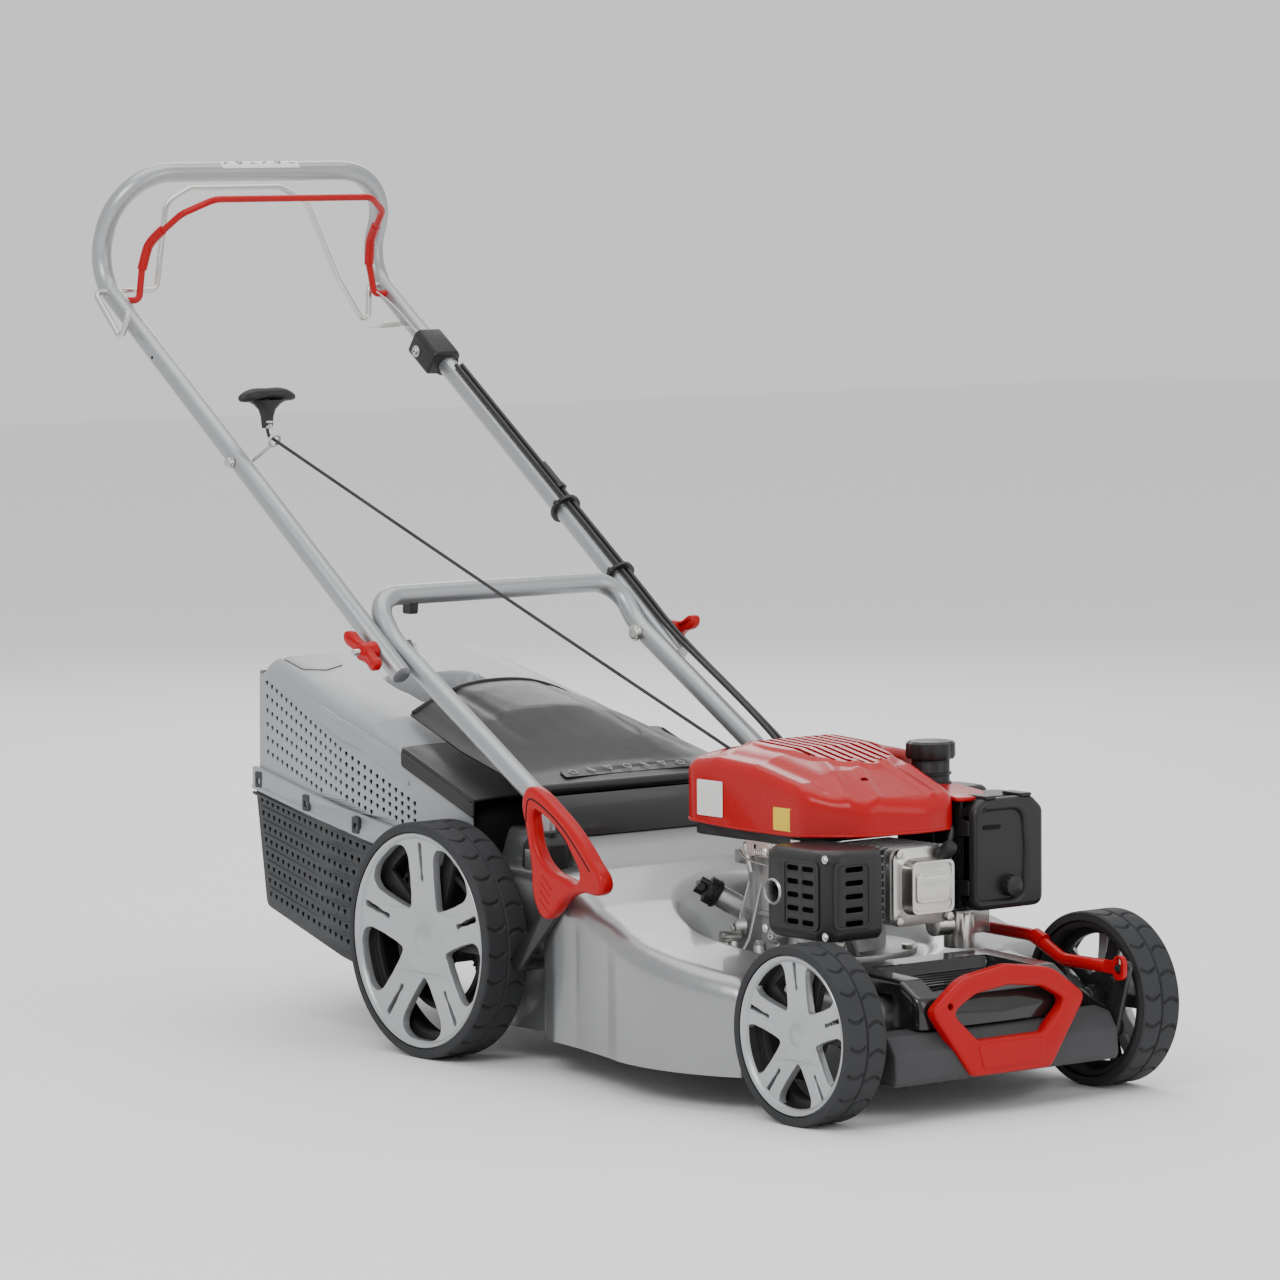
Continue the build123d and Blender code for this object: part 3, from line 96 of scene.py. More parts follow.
def area_light(name, place, size, power):
    lamp = bpy.data.lights.new(name, "AREA")
    lamp.shape = "RECTANGLE"
    lamp.size, lamp.size_y = size
    lamp.energy = power
    holder = bpy.data.objects.new(name, lamp)
    bpy.context.scene.collection.objects.link(holder)
    holder.location = place
    holder.rotation_euler = (Vector((0, 0, 0.4)) - Vector(place)).to_track_quat("-Z", "Y").to_euler()


area_light("key", (2.2, -3.6, 3.4), (2.6, 2.0), 100)
area_light("fill", (4.4, 1.6, 2.0), (2.4, 2.4), 32)
area_light("overhead", (-0.4, 0.4, 4.2), (4.2, 3.2), 72)
area_light("rim", (-3.6, 2.6, 2.6), (2.2, 2.2), 45)
world = bpy.data.worlds.new("studio")
world.use_nodes = True
world.node_tree.nodes["Background"].inputs["Color"].default_value = (1, 1, 1, 1)
world.node_tree.nodes["Background"].inputs["Strength"].default_value = 0.9
bpy.context.scene.world = world


# ---------------------------------------------------------------- materials
def material(
    name, colour, rough=0.5, metal=0.0, coat=0.0, vary=0.08, grain=900, depth=0.00004, streak=(1, 1, 1),
    shine=None
):
    """Procedural finish: slow colour drift, patchy roughness and a fine bump."""
    made = bpy.data.materials.new(name)
    made.use_nodes = True
    tree = made.node_tree
    shader = tree.nodes["Principled BSDF"]
    shader.inputs["Metallic"].default_value = metal
    shader.inputs["Coat Weight"].default_value = coat
    shader.inputs["Coat Roughness"].default_value = 0.06
    if shine is None:
        shine = 0.3 if max(colour) < 0.06 else 0.5
    shader.inputs["Specular IOR Level"].default_value = shine
    place = tree.nodes.new("ShaderNodeTexCoord")
    stretch = tree.nodes.new("ShaderNodeMapping")
    stretch.inputs["Scale"].default_value = streak
    tree.links.new(place.outputs["Object"], stretch.inputs["Vector"])

    def noise(scale, detail):
        node = tree.nodes.new("ShaderNodeTexNoise")
        node.inputs["Scale"].default_value = scale
        node.inputs["Detail"].default_value = detail
        tree.links.new(stretch.outputs["Vector"], node.inputs["Vector"])
        return node.outputs["Fac"]

    blend = tree.nodes.new("ShaderNodeMix")
    blend.data_type = "RGBA"
    tree.links.new(noise(14, 4), blend.inputs["Factor"])
    blend.inputs["A"].default_value = [c * (1 - vary) for c in colour] + [1]
    blend.inputs["B"].default_value = [min(1, c * (1 + vary)) for c in colour] + [1]
    tree.links.new(blend.outputs["Result"], shader.inputs["Base Color"])
    patch = tree.nodes.new("ShaderNodeMapRange")
    patch.inputs["To Min"].default_value = rough * 0.82
    patch.inputs["To Max"].default_value = min(1, rough * 1.2)
    tree.links.new(noise(60, 6), patch.inputs["Value"])
    tree.links.new(patch.outputs["Result"], shader.inputs["Roughness"])
    bump = tree.nodes.new("ShaderNodeBump")
    bump.inputs["Distance"].default_value = depth
    bump.inputs["Strength"].default_value = 0.6
    tree.links.new(noise(grain, 3), bump.inputs["Height"])
    tree.links.new(bump.outputs["Normal"], shader.inputs["Normal"])
    return made


LOOKS = {
    "deck_steel": material("deck_paint", (0.30, 0.305, 0.312), 0.32, 0.85, 0.35, 0.05, 2600, 0.00003),
    "tube_steel": material("tube_paint", (0.37, 0.38, 0.39), 0.36, 0.7, 0.3, 0.05, 2400, 0.00003),
    "red_plastic": material(
        "red_plastic", (0.40, 0.002, 0.004), 0.34, 0, 0.05, 0.06, 1500, 0.00003, shine=0.2
    ),
    "red_enamel": material(
        "red_enamel", (0.40, 0.002, 0.004), 0.28, 0, 0.14, 0.06, 1100, 0.00003, shine=0.2
    ),
    "red_wire": material("red_coating", (0.40, 0.003, 0.005), 0.35, 0, 0.1, 0.08, 900, 0.00005, shine=0.2),
    "black_gloss": material("black_gloss", (0.010, 0.010, 0.011), 0.16, 0, 0.6, 0.2, 1400, 0.00002),
    "black_plastic": material("black_plastic", (0.016, 0.016, 0.017), 0.42, 0, 0.1, 0.2, 1600, 0.00006),
    "grey_plastic": material("grey_plastic", (0.045, 0.046, 0.049), 0.55, 0, 0, 0.15, 1800, 0.00008),
    "bag_light": material("bag_light", (0.31, 0.32, 0.335), 0.42, 0.15, 0.1, 0.05, 2200, 0.00004),
    "bag_dark": material("bag_dark", (0.040, 0.042, 0.045), 0.52, 0, 0, 0.14, 1800, 0.00007),
    "zinc": material("zinc", (0.62, 0.61, 0.58), 0.30, 1.0, 0, 0.14, 700, 0.00008),
    "steel": material("bare_steel", (0.42, 0.42, 0.43), 0.35, 1.0, 0, 0.15, 500, 0.00008, (1, 6, 1)),
    "blade_paint": material("blade_paint", (0.03, 0.03, 0.03), 0.45, 0.2, 0, 0.3, 500, 0.0001),
    "aluminium": material("cast_aluminium", (0.42, 0.42, 0.42), 0.46, 0.9, 0, 0.16, 1200, 0.00025),
    "tyre": material("tyre_rubber", (0.028, 0.029, 0.031), 0.66, 0, 0, 0.14, 1400, 0.0001),
    "belt": material("belt_rubber", (0.02, 0.02, 0.02), 0.8, 0, 0, 0.3, 900, 0.0002),
    "rim_plastic": material("rim_plastic", (0.018, 0.018, 0.019), 0.45, 0, 0, 0.2, 1500, 0.00006),
    "silver_plastic": material("silver_plastic", (0.40, 0.41, 0.42), 0.36, 0.55, 0.3, 0.05, 2200, 0.00003),
    "rope": material("braided_rope", (0.035, 0.035, 0.038), 0.8, 0, 0, 0.5, 1200, 0.0004, (1, 1, 3)),
    "cable_sheath": material("cable_sheath", (0.012, 0.012, 0.012), 0.38, 0, 0.2, 0.2, 1200, 0.00005),
}
EXTRA = {
    "badge": material("badge_grey", (0.11, 0.115, 0.12), 0.34, 0.5, 0.2, 0.05, 900, 0.00002),
    "crank_black": material("black_enamel", (0.014, 0.014, 0.015), 0.36, 0, 0.3, 0.2, 1200, 0.00004),
    "label": material("label_film", (0.72, 0.72, 0.70), 0.35, 0, 0.2, 0.02, 900, 0.00001),
    "label_yellow": material("label_yellow", (0.72, 0.50, 0.012), 0.38, 0, 0.2, 0.03, 900, 0.00001),
    "label_grey": material("label_print", (0.10, 0.10, 0.11), 0.4, 0, 0.2, 0.1, 900, 0.00001),
    "dark": material("deep_shadow", (0.004, 0.004, 0.004), 0.9, 0, 0, 0.3, 600, 0.0001),
    "silver_print": material("silver_print", (0.30, 0.31, 0.32), 0.5, 0.3, 0, 0.1, 900, 0.00002),
}
SLOT_OF = {entry["node"]: entry["material_slot"] for entry in frame["record"]["subparts"]}


# ---------------------------------------------------------------- making pieces
def finish(piece, body, slot, look=None, smooth=40):
    """Gives a piece its finish (the given look, or else the slot's look), smooth shading and its body."""
    piece.data.materials.clear()
    piece.data.materials.append(look or LOOKS[slot])
    if piece.type == "MESH":
        piece.data.shade_smooth()
        piece.data.set_sharp_from_angle(angle=math.radians(smooth))
    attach(piece, body)
    return piece


def new_object(name, data):
    made = bpy.data.objects.new(name, data)
    bpy.context.scene.collection.objects.link(made)
    return made


def from_grid(name, grid, closed_u=False, closed_v=False):
    """Mesh through a grid of points, rows by columns."""
    rows, cols = len(grid), len(grid[0])
    faces = []
    for i in range(rows if closed_v else rows - 1):
        for j in range(cols if closed_u else cols - 1):
            k, m = (i + 1) % rows, (j + 1) % cols
            faces.append((i * cols + j, i * cols + m, k * cols + m, k * cols + j))
    mesh = bpy.data.meshes.new(name)
    mesh.from_pydata([tuple(p) for row in grid for p in row], [], faces)
    mesh.update()
    return new_object(name, mesh)


def baked(piece):
    """The piece as a plain mesh object, with its curve and modifiers worked in."""
    bpy.context.view_layer.update()
    shape = piece.evaluated_get(bpy.context.evaluated_depsgraph_get())
    mesh = bpy.data.meshes.new_from_object(shape)
    mesh.transform(piece.matrix_world)
    name = piece.name
    bpy.data.objects.remove(piece)
    made = new_object(name, mesh)
    made.name = name
    return made


def modify(piece, kind, **values):
    made = piece.modifiers.new(kind.lower(), kind)
    for key, value in values.items():
        setattr(made, key, value)
    return piece


def thick(piece, thickness, side):
    """The open sheet as a solid sheet; side is -1 inwards, 0 both ways, 1 outwards."""
    return baked(modify(piece, "SOLIDIFY", thickness=thickness, offset=side))


def cord_curve(name, points, radius):
    """Round wire or cable along one smooth curve."""
    data = bpy.data.curves.new(name, "CURVE")
    data.dimensions = "3D"
    spline = data.splines.new("NURBS")
    spline.points.add(len(points) - 1)
    for spot, point in zip(spline.points, points):
        spot.co = (*point, 1)
    spline.order_u = 3
    spline.use_endpoint_u = True
    spline.resolution_u = 10
    data.bevel_depth = radius
    data.bevel_resolution = 4
    data.use_fill_caps = True
    return baked(new_object(name, data))


def plate(name, outlines, thickness, bevel, place, smooth_loops=()):
    """Rounded plate from loops in (u, v) millimetres; place maps (u, v, w) to the frame."""
    data = bpy.data.curves.new(name, "CURVE")
    data.dimensions = "2D"
    data.fill_mode = "BOTH"
    for number, loop in enumerate(outlines):
        curved = number in smooth_loops
        spline = data.splines.new("BEZIER" if curved else "POLY")
        if curved:
            spline.bezier_points.add(len(loop) - 1)
            for spot, (u, v) in zip(spline.bezier_points, loop):
                spot.co = (u * MM, v * MM, 0)
                spot.handle_left_type = spot.handle_right_type = "AUTO"
        else:
            spline.points.add(len(loop) - 1)
            for spot, (u, v) in zip(spline.points, loop):
                spot.co = (u * MM, v * MM, 0, 1)
        spline.use_cyclic_u = True
        spline.resolution_u = 8
    data.extrude = (thickness / 2 - bevel) * MM
    data.bevel_depth = bevel * MM
    data.bevel_resolution = 2
    data.offset = -bevel * MM
    made = baked(new_object(name, data))
    for vertex in made.data.vertices:
        u, v, w = vertex.co / MM
        vertex.co = place(u, v, w)
    made.data.update()
    return made


def across(y):
    """Places (u, v, w) with u forward, v up and w to the left of y."""
    return lambda u, v, w: at(u, y + w, v)


def facing(x):
    """Places (u, v, w) with u to the left, v up and w forward of x."""
    return lambda u, v, w: at(x + w, u, v)


def flat(z):
    """Places (u, v, w) with u forward, v to the left and w above z."""
    return lambda u, v, w: at(u, v, z + w)


def lathe(name, profile, foot, direction, segments=48, lobes=0, lobe_depth=0.0):
    """Turned piece from a (radius, height) profile in millimetres, with optional lobes round its edge."""
    axis = Vector(direction).normalized()
    turn = Vector((0, 0, 1)).rotation_difference(axis).to_matrix()
    grid = []
    for radius, height in profile:
        row = []
        for k in range(segments):
            angle = 2 * math.pi * k / segments
            grown = radius * (1 + lobe_depth * math.cos(lobes * angle)) if lobes else radius
            spot = Vector((grown * math.cos(angle), grown * math.sin(angle), height)) * MM
            row.append(Vector(foot) + turn @ spot)
        grid.append(row)
    return from_grid(name, grid, closed_u=True)


def ring_dots(centre_uv, radius, count=24):
    return [
        (
            centre_uv[0] + radius * math.cos(2 * math.pi * k / count),
            centre_uv[1] + radius * math.sin(2 * math.pi * k / count)
        )
        for k in range(count)
    ]


def slot_loop(u, v, length, width, tilt=0.0, steps=6):
    """Outline of a slot with round ends."""
    loop = []
    for end, start in ((1, -90), (-1, 90)):
        for k in range(steps + 1):
            angle = math.radians(start + 180 * k / steps)
            loop.append(
                (end * (length - width) / 2 + width / 2 * math.cos(angle), width / 2 * math.sin(angle))
            )
    c, s = math.cos(tilt), math.sin(tilt)
    return [(u + a * c - b * s, v + a * s + b * c) for a, b in loop]


def rounded(points, radii, steps=6):
    """Closed outline with its corners rounded."""
    found = []
    count = len(points)
    for k, corner in enumerate(points):
        radius = radii[k % len(radii)]
        corner = Vector(corner)
        before = (Vector(points[k - 1]) - corner)
        after = (Vector(points[(k + 1) % count]) - corner)
        half = before.angle(after) / 2
        reach = min(radius / math.tan(half), before.length * 0.48, after.length * 0.48)
        start, end = corner + before.normalized() * reach, corner + after.normalized() * reach
        for n in range(steps + 1):
            t = n / steps
            found.append(start * (1 - t) ** 2 + corner * 2 * t * (1 - t) + end * t ** 2)
    return [(p[0], p[1]) for p in found]


def dense(points, step=12.0):
    """The same outline with its long edges divided."""
    found = []
    for k, start in enumerate(points):
        end = points[(k + 1) % len(points)]
        parts = max(1, int(math.dist(start, end) / step))
        found += [
            (start[0] + (end[0] - start[0]) * n / parts, start[1] + (end[1] - start[1]) * n / parts)
            for n in range(parts)
        ]
    return found


def resample(points, count, closed=True):
    """The same outline with evenly spaced points."""
    line = np.array(points + ([points[0]] if closed else []), float)
    run = np.concatenate([[0], np.cumsum(np.hypot(*np.diff(line, axis=0).T))])
    spots = np.linspace(0, run[-1], count, endpoint=not closed)
    return np.stack([np.interp(spots, run, line[:, 0]), np.interp(spots, run, line[:, 1])], 1)


def pressing(
    name, outline, spine, height, foot, edge, rows=26, walls=6, closed=True, sheet=2.0, count=260, pinch=2.2
):
    """Pressed shell: the top is height(x, y), rolled over by the edge radius into walls down to foot."""
    rim = resample(outline, count, closed)
    hub = np.stack([np.clip(rim[:, 0], *spine), np.zeros(count)], 1)
    line = np.concatenate([rim, rim[:1]]) if closed else rim
    levels = np.linspace(0, 1, rows) ** pinch
    grid = []
    low = foot if callable(foot) else (lambda x, y: np.full_like(x, foot))
    start = height(rim[:, 0], rim[:, 1]) - edge
    for k in range(walls):
        t = k / walls
        z = low(rim[:, 0], rim[:, 1]) * (1 - t) + start * t
        grid.append([at(x, y, h) for (x, y), h in zip(rim, z)])
    for level in levels:
        spot = rim + (hub - rim) * level
        a, b = line[:-1], line[1:]
        run = b - a
        size = np.maximum((run ** 2).sum(1), 1e-9)
        t = np.clip(((spot[:, None] - a) * run).sum(2) / size, 0, 1)
        depth = np.hypot(*(spot[:, None] - a - t[..., None] * run).transpose(2, 0, 1)).min(1)
        drop = edge - np.sqrt(np.maximum(edge ** 2 - np.maximum(edge - depth, 0) ** 2, 0))
        z = height(spot[:, 0], spot[:, 1]) - drop
        grid.append([at(x, y, h) for (x, y), h in zip(spot, z)])
    made = from_grid(name, grid, closed_u=closed)
    modify(made, "WELD", merge_threshold=0.00005)
    modify(made, "SOLIDIFY", thickness=sheet * MM, offset=-1)
    return baked(made)


def cut(piece, *tools):
    """Cuts the tools' shapes out of the piece."""
    for tool in tools:
        modify(piece, "BOOLEAN", operation="DIFFERENCE", object=tool, solver="EXACT")
        name = piece.name
        piece = baked(piece)
        piece.name = name
        bpy.data.objects.remove(tool)
    return piece


def joined(name, pieces):
    """Several meshes as one object."""
    whole = bmesh.new()
    for piece in pieces:
        whole.from_mesh(piece.data)
        bpy.data.objects.remove(piece)
    mesh = bpy.data.meshes.new(name)
    whole.to_mesh(mesh)
    whole.free()
    return new_object(name, mesh)


def lerp_table(table):
    """Straight interpolation through (x, value) pairs."""
    xs, values = zip(*table)
    return lambda x: np.interp(x, xs, values)


def hexagon(name, foot, direction, radius, height, washer=0.0):
    """Bolt head with a chamfer and a washer."""
    profile = [(radius * 0.3, height), (radius * 0.86, height), (radius, height * 0.82), (radius, 0.5)]
    head = lathe(name, profile, foot, direction, 6)
    if washer:
        disc = lathe(name + "_w", [(0, 1.2), (washer, 1.2), (washer, 0)], foot, direction, 32)
        head = joined(name, [head, disc])
    return head


# ---------------------------------------------------------------- wheels
SPOKES = 5
TREAD = 0.031                          # spacing of the tread grooves


def tyre_mesh(name, hub, half, radius, seat, s):
    """Tyre with two rows of curved tread grooves; hub is the wheel's centre."""
    around = 720
    pitches = round(2 * math.pi * radius / TREAD)
    shoulder = 0.035 * radius
    angles = np.arange(around) * 2 * math.pi / around
    grid = []
    for v in np.linspace(-1, 1, 31):
        y = v * (half - 0.0005)
        edge = max(0.0, abs(y) - (half - shoulder))
        r = radius - (shoulder - math.sqrt(max(shoulder ** 2 - edge ** 2, 0)))
        row = s * (1 if v > 0 else -1)
        phase = (angles * pitches / (2 * math.pi) + (0.5 if v > 0 else 0)) % 1 - 0.5
        along = phase * 2 * math.pi * radius / pitches
        u = abs(v)
        bow = 0.0075 * math.cos((u - 0.5) * math.pi) * row
        gap = np.abs((along - bow + 0.5 * TREAD) % TREAD - 0.5 * TREAD)
        groove = np.clip(1.6 - gap / 0.0016, 0, 1) * (1 if 0.08 < u < 0.93 else 0)
        rib = 1.0 if u < 0.05 else 0.0
        deep = r - 0.0027 * np.maximum(groove, rib)
        grid.append([hub + Vector((d * math.cos(a), s * y, d * math.sin(a))) for a, d in zip(angles, deep)])
    wall = [
        (1.0, radius - shoulder - 0.004), (
            0.985, seat + 0.55 * (radius - seat)
        ), (1.0, seat + 0.2 * (radius - seat)),
        (0.99, seat + 0.0006),
    ]
    for v, r in wall:
        grid.append([hub + Vector((r * math.cos(a), s * v * half, r * math.sin(a))) for a in angles])
    for v, r in reversed(wall):
        grid.insert(0, grid[0])
        grid[0] = [hub + Vector((r * math.cos(a), -s * v * half, r * math.sin(a))) for a in angles]
    return from_grid(name, grid, closed_u=True, closed_v=True)


def wheel_looks(name, body):
    s = -1 if "right" in name else 1
    low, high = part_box(f"{name}_tyre")
    hub = (low + high) / 2
    radius, half = (high.z - low.z) / 2, (high.y - low.y) / 2
    rim_low, rim_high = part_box(f"{name}_rim")
    seat = (rim_high.z - rim_low.z) / 2
    big = radius / MM
    outer = hub.y + s * half
    tyre = tyre_mesh(f"{name}_tread", hub, half, radius, seat, s)
    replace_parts(finish(tyre, body, "tyre", smooth=25), f"{name}_tyre")

    def dish(u, v, w):
        r = math.hypot(u, v) / big
        sink = 5.5 * max(0.0, min(1.0, (0.86 - r) / 0.5))
        return Vector((hub.x + u * MM, outer - s * (6.5 + sink) * MM + s * (w - 3.9) * MM, hub.z + v * MM))

    loops = [ring_dots((0, 0), seat / MM - 0.2, 96), ring_dots((0, 0), 0.27 * big, 48)]
    for k in range(SPOKES):
        spoke = math.radians(90 + 72 * k)
        gap = spoke + math.radians(36)
        shape = ((0.37, 8), (0.48, 15.5), (0.62, 20), (0.76, 21), (0.825, 17.5))
        window = [(r, math.radians(a)) for r, a in shape]
        window.append((0.85, 0))
        window += [(r, -math.radians(a)) for r, a in reversed(shape)]
        window.append((0.325, 0))
        loops.append([(big * r * math.cos(gap + a), big * r * math.sin(gap + a)) for r, a in window])
        leaf = [(0.50, 0), (0.60, 1.5), (0.72, 2.0), (0.83, 0.2), (0.72, -1.6), (0.60, -1.2)]
        loops.append([
            (
                big * r * math.cos(spoke + math.radians(a)), big * r * math.sin(spoke + math.radians(a))
            ) for r, a in leaf
        ])
    cover = plate(f"{name}_trim", loops, 11, 1.2, dish, smooth_loops=range(2, 2 + 2 * SPOKES))
    edge = seat / MM
    lip = lathe(
        f"{name}_lip",
        [
            (edge - 8.5, -7.5), (edge - 7, -4.2), (edge - 3.2, -1.2), (edge - 1.6, -0.6),
            (edge - 0.3, -1.8), (edge - 0.3, -9)
        ],
        Vector((hub.x, outer, hub.z)), (0, s, 0), 96,
    )
    cap = lathe(
        f"{name}_hubcap",
        [
            (0, -8.4), (0.11 * big, -8.7), (0.125 * big, -9.8), (0.14 * big, -10.2), (0.278 * big, -10.5),
            (0.278 * big, -18)
        ],
        Vector((hub.x, outer, hub.z)), (0, s, 0), 64,
    )
    whole = joined(f"{name}_wheel_trim", [cover, lip, cap])
    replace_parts(finish(whole, body, "silver_plastic", smooth=35), f"{name}_cover")
    bearing = lathe(
        f"{name}_bearing_ring",
        [(0.085 * big, 1.0), (0.085 * big, 2.4), (0.13 * big, 2.6), (0.135 * big, 0.5)],
        Vector((hub.x, rim_low.y if s > 0 else rim_high.y, hub.z)), (0, -s, 0), 40,
    )
    finish(bearing, body, "zinc")


for wheel in ("rear_right", "rear_left", "front_right", "front_left"):
    wheel_looks(wheel, wheel + "_wheel")

# ---------------------------------------------------------------- deck
SEAT_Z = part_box("crankcase")[0].z / MM
ENGINE = centre("crankshaft")
ENGINE_X = (ENGINE.x - AXIS_X) / MM
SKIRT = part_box("deck")[0].z / MM
SHEET = 2.5
ridge = lerp_table(
    [
        (20, 268), (150, 267), (182, 254), (212, 234), (300, 202), (400, 176), (500, 156), (560, 145),
        (640, 136), (700, 131)
    ]
)


def soft_min(a, b, width):
    h = np.clip(0.5 + 0.5 * (b - a) / width, 0, 1)
    return b + (a - b) * h - width * h * (1 - h)


def soft_max(a, b, width):
    return -soft_min(-a, -b, width)


def deck_top(x, y):
    """Height of the deck's upper skin."""
    base = ridge(x)
    lowered = soft_min(base, np.full_like(x, 232.0), 6)
    step = np.clip((np.abs(y) - 148) / 16, 0, 1)
    step = step * step * (3 - 2 * step)
    base = base * (1 - step) + lowered * step
    r = np.hypot(x - ENGINE_X, y)
    bowl = SEAT_Z + np.maximum(r - 128, 0) ** 1.15 * 1.12
    top = soft_min(base, bowl, 22)
    seat = np.clip((122 - r) / 8, 0, 1)
    return np.minimum(top, base + 3) * (1 - seat) + SEAT_Z * seat


def deck_outline():
    """Plan outline from the left rear corner round the nose to the right rear corner."""
    ring_x, ring_r, nose = 430, 262, 184
    half = [(30, 182), (120, 182), (148, 183), (164, 194), (182, 211), (212, 221), (265, 229), (350, 248)]
    arc = []
    for k in range(9):
        angle = math.pi / 2 + 0.2 - (0.2 + math.pi / 2 - math.acos(130 / ring_r)) * k / 8
        arc.append((ring_x + ring_r * math.cos(angle), ring_r * math.sin(angle)))
    front = [(ring_x + 130, nose + 3), (618, nose - 2), (636, nose - 24)]
    for k in range(1, 7):
        angle = math.asin((nose - 24) / ring_r) * (1 - k / 6)
        front.append((ring_x + ring_r * math.cos(angle), ring_r * math.sin(angle)))
    left = half + arc + front
    return left + [(x, -y) for x, y in reversed(left[:-1])]


deck_skin = pressing(
    "deck_pressing", deck_outline(), (60, 560), deck_top, SKIRT, 22, rows=70, walls=7, closed=False,
    sheet=SHEET, count=420, pinch=1.6
)
finish(deck_skin, "chassis", "deck_steel", smooth=50)
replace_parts(deck_skin, "deck")
rear_lip = cord_curve(
    "deck_rear_rolled_edge",
    [
        at(31, y, z)
        for y, z in (
            (-180, 44), (-180, 120), (-180, 205), (-172, 222), (-155, 238), (-150, 250), (-140, 262),
            (0, 264.5), (140, 262), (150, 250), (155, 238), (172, 222), (180, 205), (180, 120), (180, 44)
        )
    ],
    0.002
)
finish(rear_lip, "chassis", "deck_steel")
for s in SIDES:
    bolt = hexagon(f"deck_side_bolt_{s + 1}", at(300, s * 234.5, 58), (0, s, 0), 4.6, 3.6, 7)
    finish(bolt, "chassis", "zinc")
hem = cord_curve("deck_skirt_hem", [at(x, y, SKIRT + 1.6) for x, y in deck_outline()[3:-3]], 0.0016)
finish(hem, "chassis", "deck_steel")

# ---------------------------------------------------------------- engine cover
def blower_top(x, y):
    """Height of the red cover: a long dome that falls to the front and to both sides."""
    crown = np.interp(x, [305, 330, 380, 450, 530, 600, 620], [366, 380, 388, 384, 368, 342, 330])
    fall = np.maximum(np.abs(y) - 52, 0)
    slope = crown - 0.0014 * fall ** 2 - 0.08 * fall
    panel = np.hypot((x - 425) / 110, y / 72)
    raised = np.clip((1 - panel) / 0.09, 0, 1)
    raised = raised * raised * (3 - 2 * raised) * 3.2
    ridges = 0.0
    for (x0, y0), (x1, y1) in (((512, -20), (600, -62)), ((498, -52), (588, -92)), ((520, 16), (600, 20))):
        t = np.clip(((x - x0) * (x1 - x0) + (y - y0) * (y1 - y0)) / ((x1 - x0) ** 2 + (y1 - y0) ** 2), 0, 1)
        gap = np.hypot(x - x0 - t * (x1 - x0), y - y0 - t * (y1 - y0))
        ridges = ridges + 2.6 * np.exp(-(gap / 7) ** 2)
    scallop = np.clip((x - 345) / 25, 0, 1) * np.clip((580 - x) / 25, 0, 1)
    ridges = ridges - 3.2 * np.exp(-((y + 98) / 11) ** 2) * scallop
    return slope + raised + ridges


blower_plan = rounded(
    [
        (330, -122), (545, -123.5), (603, -88), (616.5, 0), (607, 54), (470, 60), (460, 121), (350, 123),
        (313, 66), (308, -20), (314, -80)
    ],
    [26, 40, 46, 60, 34, 6, 22, 26, 60, 70, 60],
)


def blower_foot(x, y):
    return np.interp(x, [310, 420, 520, 617], [302, 297.5, 297.5, 301])


cover = pressing(
    "engine_cover", blower_plan, (370, 540), blower_top, blower_foot, 12, rows=60, walls=6, sheet=2.2,
    count=420, pinch=1.5
)
vents = []
for k in range(9):
    v = 13.5 * (k - 4)
    half = 104 * math.sqrt(1 - (v / 68) ** 2) - 6
    vents.append(plate(f"vent_tool_{k}", [slot_loop(425, v, 2 * half, 6.4)], 60, 0.1, flat(385)))
tool = joined("vent_tools", vents)
notch = lathe(
    "notch_tool", [(0, -40), (8, -40), (8, 34), (0, 34)], at(358, -72.4, 378.7), (0.92, 0.13, -0.38), 24
)
key_hole = lathe(
    "hole_tool", [(0, -20), (4.6, -20), (4.6, 20), (0, 20)], at(560, -45, 366), (0.3, -0.1, 1), 24
)
cover = cut(cover, tool, notch, key_hole)
finish(cover, "chassis", "red_enamel", smooth=32)
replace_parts(cover, "engine_shroud")
skirt_plan = [
    (334, -113), (512, -114), (512, 58), (470, 58), (456, 114), (352, 116), (320, 64), (315, -20),
    (320, -78)
]
skirt = plate(
    "engine_cover_base", [rounded(skirt_plan, [22, 6, 6, 6, 20, 24, 60, 60, 60])], 13, 1.5, flat(291.5)
)
finish(skirt, "chassis", "black_plastic", smooth=32)
rim_bead = cord_curve(
    "engine_cover_bead",
    [at(x, y, float(blower_foot(x, y)) + 1.5) for x, y in resample(blower_plan, 90)[:-1]], 0.0018
)
finish(rim_bead, "chassis", "red_enamel")
lip = plate(
    "filter_lip", [
        rounded(
            [(470, 58), (560, 58), (606, 52), (606, 92), (560, 132), (478, 128), (466, 90)],
            [6, 20, 10, 16, 20, 16, 10]
        )
    ],
    5, 2, lambda u, v, w: at(u, v, 346 - 0.10 * (u - 470) - 0.0010 * (v - 60) ** 2 + w),
)
finish(lip, "chassis", "red_enamel")
# ---- flywheel screen under the vents
screen = [ring_dots((ENGINE_X, 0), 68, 64)]
for ring in (22, 36, 50):
    for k in range(int(ring * 0.5)):
        angle = 2 * math.pi * k / int(ring * 0.5)
        screen.append(ring_dots((ENGINE_X + ring * math.cos(angle), ring * math.sin(angle)), 4.2, 10))
finish(plate("cooling_screen", screen, 1.6, 0.3, flat(352)), "crank_train", "black_plastic")

# ---------------------------------------------------------------- carry handle and nose
def lean(u, v, w):
    """The carry handle's face, leaning back a little towards its top."""
    return at(750 + w - 0.055 * (v - 46), u, v)


